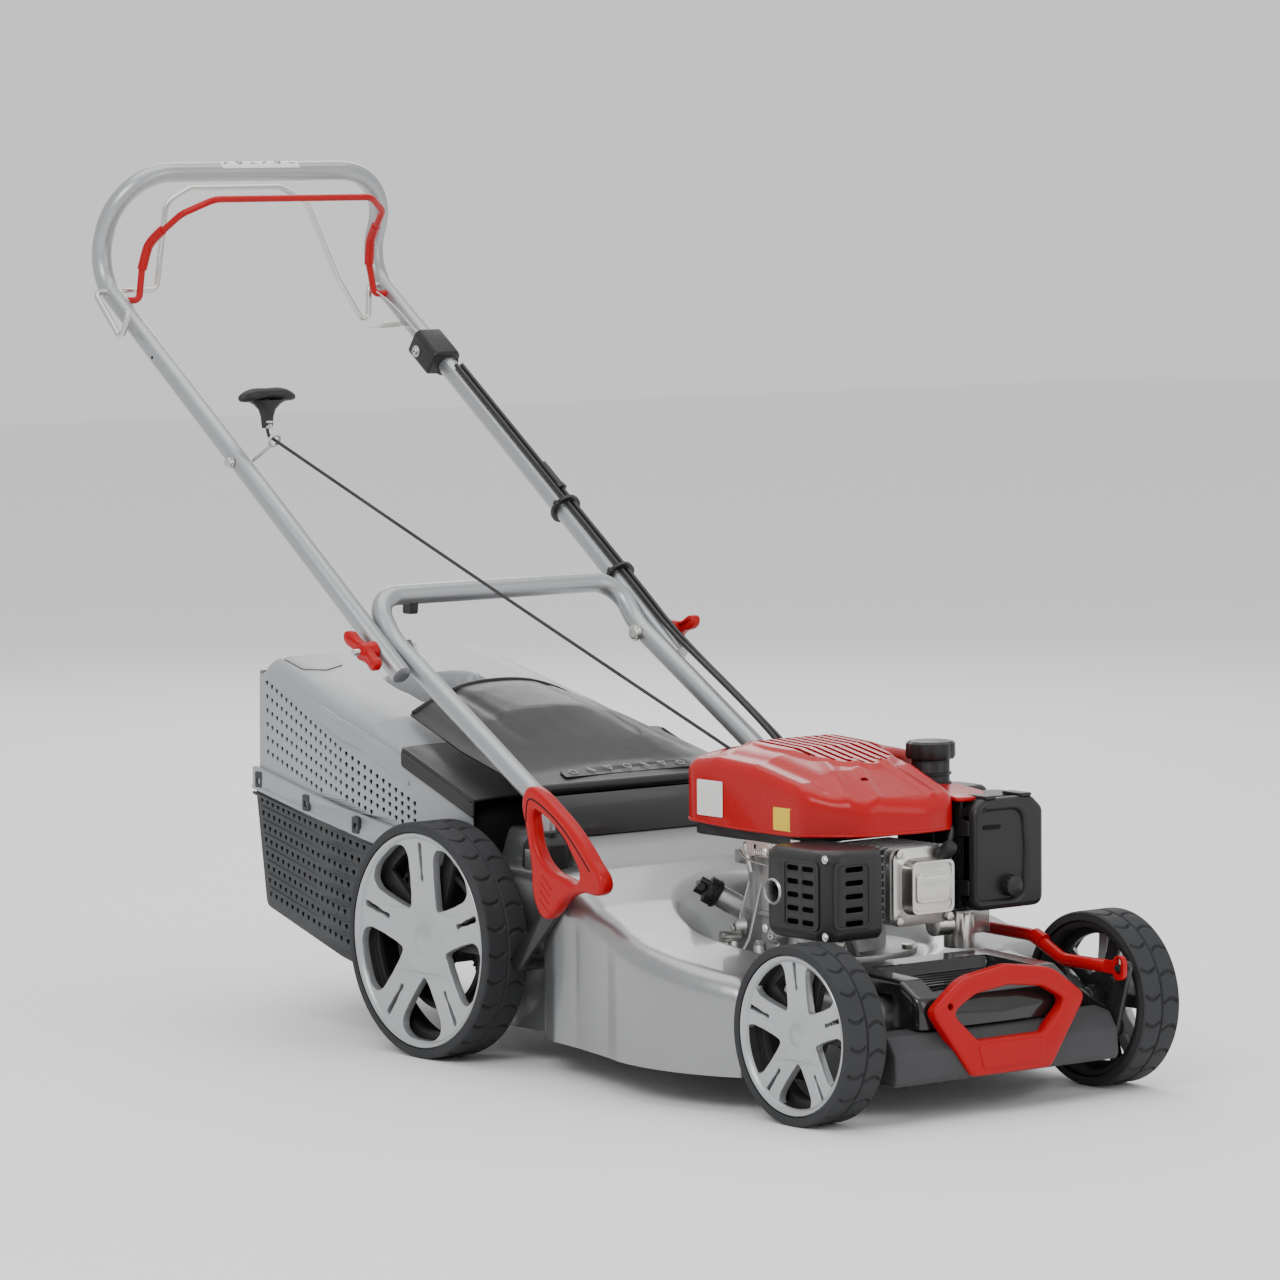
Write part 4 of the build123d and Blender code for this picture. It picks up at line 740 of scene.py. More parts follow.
frame_loop = rounded(
    [(-114, 122), (-58, 46), (58, 46), (114, 122), (66, 157), (0, 166), (-66, 157)],
    [12, 14, 14, 12, 60, 60, 60]
)
window_loop = rounded(
    [(-84, 119), (-48, 86), (48, 86), (84, 119), (50, 137), (0, 143), (-50, 137)],
    [9, 10, 10, 9, 40, 40, 40]
)
grip = plate("carry_handle_frame", [frame_loop, window_loop], 17, 4.2, lean)
slot_tool = plate("slot_tool", [slot_loop(0, 60, 62, 8)], 50, 0.1, facing(750))
pin_hole = plate("pin_tool", [ring_dots((-88, 127), 4)], 60, 0.1, facing(750))
grip = cut(grip, slot_tool, pin_hole)
finish(grip, "chassis", "red_plastic", smooth=32)
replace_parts(grip, "carry_handle")
panel = plate(
    "carry_handle_step", [rounded([(-50, 82), (-44, 54), (44, 54), (50, 82)], [6])], 3, 1.2,
    lambda u, v, w: lean(u, v, w + 8.2)
)
finish(panel, "chassis", "red_plastic")


def nose_top(x, y):
    base = np.interp(x, [568, 585, 700, 730, 742], [150, 157, 152, 134, 108])
    well = np.clip((84 - np.abs(y)) / 6, 0, 1) * np.clip((x - 616) / 8, 0, 1) * np.clip((720 - x) / 8, 0, 1)
    return base - 13 * well


nose = pressing(
    "nose_cover",
    rounded([(571, -116), (735, -116), (738, 0), (735, 116), (571, 116)], [10, 14, 200, 14, 10]),
    (640, 680), nose_top, lambda x, y: np.where(x > 690, 101.0, 136.0), 5, rows=60, walls=4, sheet=2.5,
    count=300, pinch=1.1
)
finish(nose, "chassis", "black_gloss", smooth=35)
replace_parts(nose, "front_cover")
for k in range(5):
    rib = plate(
        f"nose_rib_{k}", [slot_loop(640 + 15 * k, 0, 150, 3.2, math.pi / 2)], 3, 0.8, flat(142.5 - 0.1 * k)
    )
    finish(rib, "chassis", "black_gloss")
bumper_profile = rounded(
    [(697, 44), (697, 96), (713, 101), (737, 97), (750, 78), (752, 50), (748, 44)], [2, 5, 8, 8, 12, 6, 2]
)
bumper = plate("bumper_shell", [bumper_profile], 330, 3, across(0))
hollow = plate(
    "bumper_tool", [[(690, 30), (690, 92), (712, 97), (735, 93.5), (746, 77), (748, 52), (745, 30)]], 323,
    0.1, across(0)
)
bumper = cut(bumper, hollow)
finish(bumper, "chassis", "grey_plastic", smooth=30)
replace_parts(bumper, "front_bumper")

# ---------------------------------------------------------------- height lever
arc = [
    (212, 205), (205, 250), (196, 290), (189, 316), (194, 332), (204, 338), (216, 336), (250, 318), (290, 291),
    (320, 263), (341, 237), (336, 226), (300, 223.5), (270, 214), (246, 194), (230, 187),
]
hole = [
    (211, 310), (211, 290), (218, 267), (238, 247), (266, 238), (294, 236.5), (279, 270), (250, 296),
    (225, 308)
]
LEVER_Y = centre("height_lever").y / MM
lever = plate("height_lever_grip", [arc, hole], 19, 5.2, across(LEVER_Y), smooth_loops=(0, 1))
finish(lever, "rear_swing_axle", "red_plastic", smooth=40)
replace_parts(lever, "height_lever")
outer_line = [(199, 296), (199, 318), (208, 327), (250, 308), (286, 282), (318, 250)]
for s in SIDES:
    # near-black cords along both faces of the lever: painted shade in its grooves
    groove = cord_curve(
        f"height_lever_groove_shade_{s + 1}", [at(u, LEVER_Y + s * 9.0, v) for u, v in outer_line], 0.0011
    )
    finish(groove, "rear_swing_axle", "red_plastic", EXTRA["dark"])
    for k in range(4):
        rib = plate(
            f"height_lever_rib_{k}_{s + 1}", [slot_loop(230 + 2 * k, 203 + 9 * k, 24, 2.4, -0.7)], 2, 0.5,
            across(LEVER_Y + s * 9.2)
        )
        finish(rib, "rear_swing_axle", "red_plastic")

# ---------------------------------------------------------------- grass bag
BAG_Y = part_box("bag_upper")[1].y / MM
ROWS_X = -460                          # where the heights of the bag's hole rows and ribs are taken


def bag_side(x):
    """Half width of the bag along its length."""
    return np.interp(x, [-470, -250, 30], [164, BAG_Y - 1, BAG_Y - 1])


def bag_crown(x, y):
    base = np.interp(
        x, [-460, -440, -380, -290, -206, -120, -60, 20], [434, 440, 424.6, 401.5, 380, 347.3, 324.4, 294]
    )
    side_fall = np.maximum(np.abs(y) - 120, 0)
    return base - 0.0025 * side_fall ** 2


def recess(x, y):
    """How far the hand recess has sunk, from 0 at its edge to 1."""
    well = np.hypot(np.maximum(np.abs(y) - 46, 0), np.maximum(np.abs(x + 290) - 30, 0)) / 26
    sunk = np.clip((1 - well) / 0.4, 0, 1)
    return sunk * sunk * (3 - 2 * sunk)


def flange_line(x):
    """Height of the joint between the bag's two halves."""
    return 276 - 0.137 * (x + 470)


bag_plan = rounded(
    [
        (20, -BAG_Y + 1), (-250, -BAG_Y + 1), (-462, -165), (-466, 0), (-462, 165), (-250, BAG_Y - 1),
        (20, BAG_Y - 1)
    ],
    [3, 200, 22, 400, 22, 200, 3],
)
lid = pressing(
    "bag_lid", [(min(x, -112), y) for x, y in bag_plan], (-330, -180),
    lambda x, y: bag_crown(x, y) - 52 * recess(x, y), lambda x, y: bag_crown(x, y) - 21, 20, rows=64,
    walls=3, sheet=2.4, count=420, pinch=1.25
)
finish(lid, "bag", "bag_light", smooth=40)


def under_lid(drop):
    """Places (u, v, w) at a depth under the lid's slope."""
    return lambda u, v, w: at(u, v, float(bag_crown(np.array(float(u)), np.array(float(v)))) - drop + w)


cup_floor = rounded([(-331, -57), (-249, -57), (-249, 57), (-331, 57)], [18])
# near-black plate on the floor of the hand recess: painted shade inside the recess
finish(plate("bag_hand_recess_shade", [cup_floor], 2.4, 0.4, under_lid(50)), "bag", "bag_dark", EXTRA["dark"])


def triangle(u, v, size):
    """Small heart-like hole: a triangle with round corners."""
    return rounded(
        [(u - size, v + size * 0.75), (u + size, v + size * 0.75), (u, v - size)],
        [size * 0.7], 3
    )


def bag_panel(name, s, outline, rows, clear, size, out=0.0):
    """Side panel of the bag with rows of holes, each (height, slope, first x, last x, spacing)."""
    loops = [dense(outline)]
    for height, slope, first, last, step in rows:
        count = int((last - first) / step)
        for k in range(count + 1):
            u = first + step * k
            v = height + slope * (u - ROWS_X)
            if clear(u, v):
                loops.append(triangle(u, v, size))

    def place(u, v, w):
        return at(u, s * (float(bag_side(u)) - 1.2 + out + w), v)

    return plate(name, loops, 2.2, 0.4, place)


upper_outline = rounded(
    [(-469, 270), (-466, 424), (-290, 390), (-206, 368), (-120, 340), (16, 291), (16, 206)],
    [8, 14, 60, 60, 60, 4, 4]
)
upper_rows = [(414 - 17.6 * k, -0.35 + 0.02 * k, -446, -100, 12.8) for k in range(7)]
lower_outline = rounded(
    [(-472, 276), (-446, 132), (-218, 83), (-98, 94), (-92, 204), (18, 204), (18, 209)],
    [4, 14, 60, 10, 4, 2, 2]
)
lower_rows = [(263 - 16 * k, -0.14 - 0.05 * k / 7, -456 + 3 * k, -112, 14.2) for k in range(8)]


def clear_above(u, v):
    return flange_line(u) + 33 < v < float(
        np.interp(u, [-452, -290, -206, -120, 16], [424, 390, 368, 340, 291])
    ) - 9


def clear_below(u, v):
    return float(np.interp(u, [-446, -218, -98], [132, 83, 94])) + 13 < v < flange_line(u) - 9


for s in SIDES:
    tag = "right" if s < 0 else "left"
    wall = bag_panel(f"bag_{tag}_upper_wall", s, upper_outline, upper_rows, clear_above, 4.9)
    finish(wall, "bag", "bag_light", smooth=30)
    wall = bag_panel(f"bag_{tag}_lower_wall", s, lower_outline, lower_rows, clear_below, 4.9, 4)
    finish(wall, "bag", "bag_dark", smooth=30)
    for row in range(7):
        z = 255 - 16 * row
        slope = -0.14 - 0.05 * row / 7
        rib = cord_curve(
            f"bag_{tag}_rib_{row}",
            [
                at(x, s * (float(bag_side(x)) + 4.4), z + slope * (x - ROWS_X))
                for x in (-456 + 3 * row, -330, -210, -112)
            ],
            0.0015
        )
        finish(rib, "bag", "bag_dark")
    flange = [(x, flange_line(x)) for x in (-476, -250, -92, 14)]
    strip = plate(
        f"bag_{tag}_flange_strip", [
            dense(rounded([(-476, 277), (-474, 304), (16, 236), (16, 209)], [2]))
        ], 7, 1.4,
        lambda u, v, w: at(u, s * (float(bag_side(u)) + 1.8 + w), v),
    )
    finish(strip, "bag", "bag_light", smooth=30)
    for number, (drop, radius, look) in enumerate(((1.5, 3.4, "bag_light"), (-6.5, 2.2, "bag_dark"))):
        bead = cord_curve(
            f"bag_{tag}_flange_{number}",
            [at(x, s * (float(bag_side(x)) + 4), z + drop) for x, z in flange], radius * MM
        )
        finish(bead, "bag", look)
    for number, x in enumerate((-460, -334, -214)):
        z = flange_line(x) + 14
        clip = plate(
            f"bag_{tag}_snap_{number}",
            [
                rounded([(x - 7, z - 11), (x + 7, z - 11), (x + 7, z + 9), (x - 7, z + 9)], [2]),
                rounded([(x - 3.6, z - 6), (x + 3.6, z - 6), (x + 3.6, z + 1), (x - 3.6, z + 1)], [1])
            ],
            5, 0.8, across(s * (float(bag_side(x)) + 5))
        )
        finish(clip, "bag", "bag_dark")
# near-black shell inside the bag, seen through the holes in its walls: painted shade of the bag's inside
interior_shade = pressing(
    "bag_interior_shade", [(x * 0.92 - 4, y * 0.95) for x, y in bag_plan], (-330, -60),
    lambda x, y: bag_crown(x, y) - 6 - 62 * recess(x, y),
    lambda x, y: np.interp(x, [-470, -430, -218, -98, -90, 20], [168, 138, 90, 98, 210, 212]) + 3, 12,
    rows=24, walls=10, sheet=1.0, count=240, pinch=1.2
)
finish(interior_shade, "bag", "bag_dark", EXTRA["dark"])


def rear_wall(z):
    """Rear face of the bag: distance along the mower at one height."""
    return float(np.interp(z, [120, 132, 274, 276, 440], [-442, -446, -473, -468, -467]))


for name, low, high, slot_name in (
    ("bag_rear_upper", 280, 424, "bag_light"), ("bag_rear_lower", 128, 276, "bag_dark")
):
    grid = []
    for k in range(13):
        z = low + (high - low) * k / 12
        grid.append([at(rear_wall(z) - 1.5 + 0.00015 * t * t, t, z) for t in np.linspace(-164, 164, 33)])
    sheet_piece = from_grid(name, grid)
    finish(thick(sheet_piece, 0.0022, 0), "bag", slot_name)
for row in range(8):
    z = 146 + 16 * row
    rib = cord_curve(
        f"bag_rear_rib_{row}",
        [at(rear_wall(z) - 2 + 0.00015 * t * t, t, z) for t in (-158, -80, 0, 80, 158)], 0.0018
    )
    finish(rib, "bag", "bag_dark")
rear_flange = from_grid(
    "bag_rear_flange",
    [[at(-477 + 0.00015 * t * t, t, z) for t in np.linspace(-170, 170, 33)] for z in (277, 303)]
)
finish(thick(rear_flange, 0.006, 0), "bag", "bag_light")
belly = from_grid(
    "bag_floor",
    [
        [
            at(x, y, float(np.interp(x, [-446, -218, -98], [130, 81, 92])) + 2)
            for y in np.linspace(-float(bag_side(x)) + 1, float(bag_side(x)) - 1, 17)
        ]
        for x in np.linspace(-444, -98, 15)
    ]
)
finish(thick(belly, 0.0025, 0), "bag", "bag_dark")
front_wall = from_grid(
    "bag_front_wall",
    [[at(-95, y, z) for y in np.linspace(-BAG_Y + 2, BAG_Y - 2, 9)] for z in (93, 130, 170, 207)]
)
finish(thick(front_wall, 0.0025, 0), "bag", "bag_dark")
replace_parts(lid, "bag_upper")
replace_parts(interior_shade, "bag_lower")
grip_bar = cord_curve(
    "bag_grip_bar",
    [at(-228, y, z) for y, z in ((-64, 376), (-50, 386), (-20, 392), (20, 392), (50, 386), (64, 376))],
    0.009
)
finish(grip_bar, "bag", "bag_light")
for name, grow, rise, look in (("bag_badge_edge", 2.2, 1.6, "dark"), ("bag_badge", 0.0, 3.0, "badge")):
    loop = [
        (-436 - grow, -150 - grow), (-392, -150 - grow), (-378 + grow, -124), (-392, -88 + grow),
        (-436 - grow, -88 + grow)
    ]
    badge = plate(name, [rounded(loop, [8])], 1.6, 0.5, under_lid(-rise))
    finish(badge, "bag", "bag_light", EXTRA[look])

# ---------------------------------------------------------------- black band and rear flap
for s in SIDES:
    wing = plate(
        f"bag_band_wing_{s + 1}", [
            rounded([(-121, 357), (24, 305), (24, 281), (-121, 333)], [10, 4, 4, 6])
        ],
        3.0, 1.0, across(s * 196.3),
    )
    finish(wing, "bag", "black_plastic")
    seam = cord_curve(
        f"bag_band_bead_{s + 1}", [at(x, s * 197.2, z) for x, z in ((-116, 350), (-60, 330), (20, 301))],
        0.0017
    )
    finish(seam, "bag", "black_plastic")
band = from_grid(
    "bag_band",
    [
        [at(x, y, z - 0.0009 * max(0, abs(y) - 150) ** 2) for y in np.linspace(-196, 196, 41)]
        for x, z in ((-121, 354.5), (-90, 344), (-50, 330), (-10, 315), (24, 303))
    ]
)
band = thick(band, 0.0025, -1)
finish(band, "bag", "black_plastic")
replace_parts(band, "bag_frame")


def flap_skin(t, v):
    """The flap's upper skin; t runs from the hinge to the rear edge and v across, -1 to 1."""
    x = 92 + (-193 - 92) * t
    half = float(np.interp(t, [0, 0.5, 1], [163, 158, 131]))
    edge_z = float(np.interp(t, [0, 0.1, 0.5, 1], [317, 324, 351, 384]))
    crown = float(np.interp(t, [0, 0.16, 0.35, 0.62, 0.9, 1], [6, 10, 22, 37, 38, 36]))
    bulge = crown * (1 - abs(v) ** 2.4)
    rim = 3.2 * math.exp(-((1 - abs(v)) / 0.05) ** 2)
    crease = -2.6 * math.exp(-((abs(v) - 0.52) / 0.05) ** 2) * min(1, max(0, (t - 0.35) / 0.15))
    return at(x, v * half, edge_z + bulge + rim * 0.5 + crease)


grid = [[flap_skin(i / 40, -1 + j / 32) for j in range(65)] for i in range(41)]
flap = from_grid("flap_skin", grid)
flap = thick(flap, 0.0026, -1)
finish(flap, "flap", "black_gloss", LOOKS["black_plastic"], 60)
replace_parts(flap, "rear_flap")
hinge_tube = lathe(
    "flap_hinge_tube", [(0, -162), (6, -162), (6.8, -160), (6.8, 160), (6, 162), (0, 162)], at(100, 0, 318),
    (0, 1, 0), 24
)
finish(hinge_tube, "flap", "black_plastic")
for s in SIDES:
    pin = lathe(
        f"flap_pin_{s + 1}", [(0, 0), (4, 0), (4, 11), (3, 12), (0, 12)], at(100, s * 160, 318), (0, s, 0),
        24
    )
    finish(pin, "flap", "zinc")
flap_edge = cord_curve(
    "flap_rear_edge", [flap_skin(0.995, -0.97 + 1.94 * k / 10) for k in range(11)], 0.003
)
finish(flap_edge, "flap", "black_plastic")
strip = plate(
    "flap_info_strip", [rounded([(58, -96), (78, -100), (78, 100), (58, 96)], [4])], 1.2, 0.4,
    lambda u, v, w: flap_skin((92 - u) / 285, v / 162) + Vector((0, 0, (2.0 + w) * MM)),
)
finish(strip, "flap", "black_plastic")
marks = []
for k in range(7):
    v = -82 + 27 * k
    shape = (
        [ring_dots((68, v), 5.6, 20), ring_dots((68, v), 4.4, 20)], [slot_loop(68, v, 12, 3, 0.5)],
        [[(63, v - 6), (74, v), (63, v + 6)], [(64.4, v - 4), (71.8, v), (64.4, v + 4)]]
    )[k % 3]
    marks.append(
        plate(
            "mark", shape, 0.8, 0.15,
            lambda u, v2, w: flap_skin((92 - u) / 285, v2 / 162) + Vector((0, 0, (3.1 + w) * MM))
        )
    )
marks = joined("flap_info_marks", marks)
finish(marks, "flap", "black_plastic", EXTRA["silver_print"])

# ---------------------------------------------------------------- muffler, air filter, fuel
GUARD_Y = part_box("muffler_guard")[0].y / MM
for k, (x, z) in enumerate(((536, 286), (640, 286), (640, 200), (536, 200))):
    finish(hexagon(f"guard_screw_{k}", at(x, GUARD_Y + 3, z), (0, -1, 0), 3.2, 2.4, 4.6), "chassis", "zinc")
outlet = lathe(
    "exhaust_outlet", [(11.5, -16), (11.5, 1), (13, 3), (15, 1), (15, -2)], at(552, GUARD_Y + 1, 243),
    (0, -1, 0), 36
)
finish(outlet, "chassis", "steel")
# the muffler gets the near-black look instead of steel: painted shade behind the guard
muffler = lathe(
    "muffler_can", [(0, 0), (34, 0), (42, 6), (44, 30), (42, 54), (34, 60), (0, 60)], at(588, -166, 243),
    (0, 1, 0), 40
)
finish(muffler, "chassis", "steel", EXTRA["dark"])
frame_rib = plate(
    "guard_front_rib",
    [
        rounded([(-166, 206), (-112, 206), (-112, 282), (-166, 282)], [10]),
        rounded([(-162, 210), (-116, 210), (-116, 278), (-162, 278)], [7])
    ],
    2, 0.8, facing(648.4)
)
finish(frame_rib, "chassis", "black_plastic")
side_rib = plate(
    "guard_side_rib",
    [
        rounded([(571, 205), (632, 205), (632, 282), (571, 282)], [8]),
        rounded([(574, 208), (629, 208), (629, 279), (574, 279)], [6])
    ],
    2, 0.8, across(GUARD_Y - 0.4)
)
finish(side_rib, "chassis", "black_plastic")

FX = (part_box("air_filter_cover")[1].x - AXIS_X) / MM - 8         # front face of the air filter
lid_loop = rounded([(63, 206), (167, 206), (167, 318), (150, 333), (78, 333), (63, 320)], [14])
filter_lid = plate("air_filter_lid", [lid_loop], 22, 6, facing(FX - 14))
finish(filter_lid, "chassis", "black_plastic", smooth=32)
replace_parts(filter_lid, "air_filter_cover")
rim_hole = rounded([(72, 218), (136, 218), (140, 268), (136, 318), (72, 318)], [8, 18, 40, 18, 8])
finish(
    plate("air_filter_rim", [lid_loop, rim_hole], 26, 6, facing(FX - 11)), "chassis", "black_plastic",
    smooth=32
)
# near-black slot plate on the lid: painted shade in a slot that has no opening
vent = plate("air_filter_slot_shade", [slot_loop(92, 300, 26, 5)], 2, 0.6, facing(FX - 2.6))
finish(vent, "chassis", "black_plastic", EXTRA["dark"])
for k, u in enumerate((88, 142)):
    clip = plate(
        f"air_filter_top_clip_{k}",
        [rounded([(FX - 34, u - 8), (FX + 1, u - 8), (FX + 1, u + 8), (FX - 34, u + 8)], [3])], 4, 1.2,
        flat(334)
    )
    finish(clip, "chassis", "black_plastic")
knob = lathe(
    "air_filter_knob", [(0, 12), (9, 12), (11.6, 10.4), (12.4, 7), (12.4, 0)], at(FX - 3, 118, 232),
    (1, 0, 0), 48, 12, 0.03
)
finish(knob, "chassis", "black_plastic")
for k, z in enumerate((232, 300)):
    clip = plate(
        f"air_filter_clip_{k}",
        [
            rounded([(574, z - 9), (614, z - 9), (614, z + 9), (574, z + 9)], [3]),
            rounded([(580, z - 4), (592, z - 4), (592, z + 4), (580, z + 4)], [1])
        ],
        3, 0.9, across(62.6)
    )
    finish(clip, "chassis", "black_plastic")
for k in range(4):
    rib = plate(
        f"filter_housing_rib_{k}",
        [
            rounded(
                [(540, 214 + 28 * k), (597, 214 + 28 * k), (597, 219 + 28 * k), (540, 219 + 28 * k)], [1]
            )
        ],
        2, 0.5, across(63.2)
    )
    finish(rib, "chassis", "black_plastic")

CAP = centre("fuel_cap")
cap_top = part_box("fuel_cap")[1].z
cap_x = (CAP.x - AXIS_X) / MM
cap = lathe(
    "fuel_cap_scalloped",
    [(0, 0), (19, 0), (22, -1), (25, -0.6), (28.2, -3), (28.6, -17), (27, -20.5), (16.4, -21), (16.4, -31)],
    Vector((CAP.x, CAP.y, cap_top)), (0, 0, 1), 144, 12, 0.022
)
finish(cap, "fuel_cap_body", "black_plastic", smooth=30)
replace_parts(cap, "fuel_cap")
grip_bar_cap = plate(
    "fuel_cap_grip", [slot_loop(cap_x, CAP.y / MM, 38, 8, 0.6)], 3, 1.2, flat(cap_top / MM - 1.2)
)
finish(grip_bar_cap, "fuel_cap_body", "black_plastic")
neck_rings = [
    lathe(
        f"fuel_neck_ring_{k}", [(21.6, -2), (24.2, -1.2), (24.2, 1.2), (21.6, 2)], at(cap_x, CAP.y / MM, z),
        (0, 0, 1), 48
    )
    for k, z in enumerate((341, 352))
]
finish(joined("fuel_neck_rings", neck_rings), "chassis", "black_plastic")

# ---------------------------------------------------------------- cylinder head and crankcase details
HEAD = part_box("valve_cover")
HEAD_Z = centre("valve_cover").z / MM
HEAD_X = (HEAD[1].x - AXIS_X) / MM
border = plate(
    "valve_cover_border",
    [
        rounded([(-31, HEAD_Z - 30), (31, HEAD_Z - 30), (31, HEAD_Z + 30), (-31, HEAD_Z + 30)], [9]),
        rounded([(-27, HEAD_Z - 26), (27, HEAD_Z - 26), (27, HEAD_Z + 26), (-27, HEAD_Z + 26)], [6])
    ],
    1.6, 0.6, facing(HEAD_X - 2.8)
)
finish(border, "chassis", "zinc")
for row in (-15, 15):
    bead = plate(
        "valve_cover_bar", [slot_loop(0, HEAD_Z + row, 40, 4)], 1.6, 0.6, facing(HEAD_X + 0.2 - 0.9)
    )
    finish(bead, "chassis", "zinc")
gasket = plate(
    "head_gasket",
    [rounded([(-44, HEAD_Z - 45), (44, HEAD_Z - 45), (44, HEAD_Z + 45), (-44, HEAD_Z + 45)], [14])], 2, 0.4,
    facing(600.2)
)
finish(gasket, "chassis", "aluminium")
plug = lathe(
    "spark_plug_boot", [(0, 26), (7, 26), (9, 22), (9, 6), (11, 4), (11, 0), (0, 0)], at(606, 24, 268),
    (0.72, 0.15, 0.67), 28
)
finish(plug, "chassis", "black_plastic")
lead = cord_curve(
    "spark_plug_lead",
    [at(618, 28, 286), at(612, 40, 300), at(590, 52, 306), at(560, 54, 300), at(530, 50, 292)], 0.0034
)
finish(lead, "chassis", "cable_sheath")
for k in range(6):
    angle = math.radians(200 + 27 * k)
    lug = lathe(
        f"crankcase_lug_{k}", [(0, 16), (5.6, 16), (7.4, 14), (8.6, 0)],
        at(ENGINE_X + 103 * math.cos(angle), 103 * math.sin(angle), SEAT_Z + 5), (0, 0, 1), 24
    )
    finish(lug, "chassis", "aluminium")
    bolt = hexagon(
        f"crankcase_bolt_{k}", at(ENGINE_X + 103 * math.cos(angle), 103 * math.sin(angle), SEAT_Z + 21),
        (0, 0, 1), 5, 4.5, 7.2
    )
    finish(bolt, "chassis", "zinc")
    web = plate(
        f"crankcase_web_{k}",
        [[(74, SEAT_Z + 6), (108, SEAT_Z + 6), (96, SEAT_Z + 24), (78, 236), (74, 236)]], 5, 1,
        lambda u, v, w, a=angle: at(
            ENGINE_X + u * math.cos(a + 0.2) - w * math.sin(a + 0.2),
            u * math.sin(a + 0.2) + w * math.cos(a + 0.2), v
        )
    )
    finish(web, "chassis", "aluminium")
seam = lathe(
    "crankcase_seam", [(79, -3), (84, -2.4), (84, 2.4), (79, 3)], at(ENGINE_X, 0, 198), (0, 0, 1), 96
)
finish(seam, "chassis", "aluminium")
fin_stack = []
for k in range(9):
    fin_stack.append(
        plate(
            "fin", [rounded([(532 - 3, -60), (594, -60), (594, -44), (529, -44)], [3])], 2, 0.4,
            flat(204 + 9 * k)
        )
    )
finish(joined("cylinder_side_fins", fin_stack), "chassis", "aluminium")
lever_plate = plate(
    "governor_lever",
    [rounded([(402, 262), (420, 268), (498, 284), (500, 290), (486, 291), (412, 280), (398, 272)], [3])],
    2.2, 0.5, across(-94)
)
finish(lever_plate, "chassis", "zinc")
lever_post = lathe(
    "governor_post", [(0, 34), (4, 34), (5, 30), (5, 0)], at(408, -86, 246), (0, -0.25, 1), 20
)
finish(lever_post, "chassis", "zinc")
bracket_plate = plate(
    "throttle_bracket",
    [
        rounded([(430, 268), (528, 268), (528, 293), (500, 293), (470, 286), (430, 290)], [4]),
        ring_dots((516, 281), 4, 16), ring_dots((446, 279), 3, 14)
    ],
    2.2, 0.5, across(-112)
)
finish(bracket_plate, "chassis", "zinc")


def spring(name, start, end, radius, wire, turns):
    """Coil spring between two hooks."""
    start, end = Vector(start), Vector(end)
    axis = (end - start).normalized()
    across_a = axis.orthogonal().normalized()
    across_b = axis.cross(across_a)
    spots = [start]
    for k in range(turns * 10 + 1):
        t = 0.14 + 0.72 * k / (turns * 10)
        angle = 2 * math.pi * k / 10
        spots.append(
            start.lerp(end, t) + (across_a * math.cos(angle) + across_b * math.sin(angle)) * radius
        )
    spots.append(end)
    return cord_curve(name, spots, wire)


finish(
    spring("governor_spring", at(412, -97, 276), at(500, -115, 284), 0.0042, 0.0007, 22), "chassis", "zinc"
)
finish(
    spring("throttle_spring", at(440, -118, 272), at(524, -118, 279), 0.0034, 0.0006, 18), "chassis", "zinc"
)
finish(
    cord_curve(
        "governor_rod",
        [at(404, -99, 268), at(412, -104, 262), at(470, -112, 258), at(520, -112, 262), at(530, -104, 270)],
        0.0012
    ),
    "chassis", "zinc"
)
finish(
    cord_curve(
        "breather_hose", [at(520, 46, 214), at(540, 58, 210), at(560, 72, 216), at(566, 76, 226)], 0.005
    ),
    "chassis", "black_plastic"
)
drain = lathe(
    "oil_drain_elbow", [(0, 24), (6, 24), (7, 20), (7, 0)], at(392, -92, 168), (-0.25, -0.9, 0.1), 24
)
finish(drain, "chassis", "zinc")
for k, (x, y, z) in enumerate(((384, -78, 178), (352, -70, 200), (452, -86, 176), (470, -96, 214))):
    boss = lathe(
        f"case_boss_{k}", [(0, 12), (6, 12), (8, 10), (11, 0)], at(x, y, z), (x - ENGINE_X, y, 0), 24
    )
    finish(boss, "chassis", "aluminium")
    finish(
        hexagon(
            f"case_boss_bolt_{k}", at(x, y, z) + Vector((x - ENGINE_X, y, 0)).normalized() * 0.012,
            (x - ENGINE_X, y, 0), 4.4, 4
        ),
        "chassis", "zinc"
    )
stick = Vector((-24, -34, 24)).normalized()
stick_top = at(338, -86, 214)
grip_top = lathe(
    "dipstick_cap", [(0, 20), (5, 20), (6, 19), (6.4, 11), (13, 10), (15.6, 8), (16, 1.5), (14, 0)],
    stick_top + stick * 0.0006, stick, 96, 10, 0.025
)
finish(grip_top, "dipstick_body", "black_plastic", smooth=30)
wing_axis = stick.cross(Vector((0, 0, 1))).normalized()
wing = cord_curve(
    "dipstick_wing", [stick_top + stick * 0.018 + wing_axis * t for t in (-0.014, -0.006, 0.006, 0.014)],
    0.0046
)
finish(wing, "dipstick_body", "black_plastic")
collar = lathe(
    "filler_collar", [(10, -6), (15, -6), (17, -3), (17, -0.6), (10, -0.2)], stick_top, stick, 40
)
finish(collar, "chassis", "black_plastic")

# ---------------------------------------------------------------- handle, bails and cables
JOINT = {joint["name"]: joint for joint in frame["joints"]}
BOLT = Vector(JOINT["handle_fold"]["pos_m"])
BOLT_X, BOLT_Z = (BOLT.x - AXIS_X) / MM, BOLT.z / MM
TUBE_R = 12.5
UPPER_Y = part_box("upper_handle")[1].y / MM - TUBE_R
LOWER_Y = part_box("lower_handle")[1].y / MM - TUBE_R
SLOPE = (916 - BOLT_Z) / (BOLT_X + 752)


def tube_z(x):
    """Height of the upper handle's straight tube."""
    return BOLT_Z + (BOLT_X - x) * SLOPE


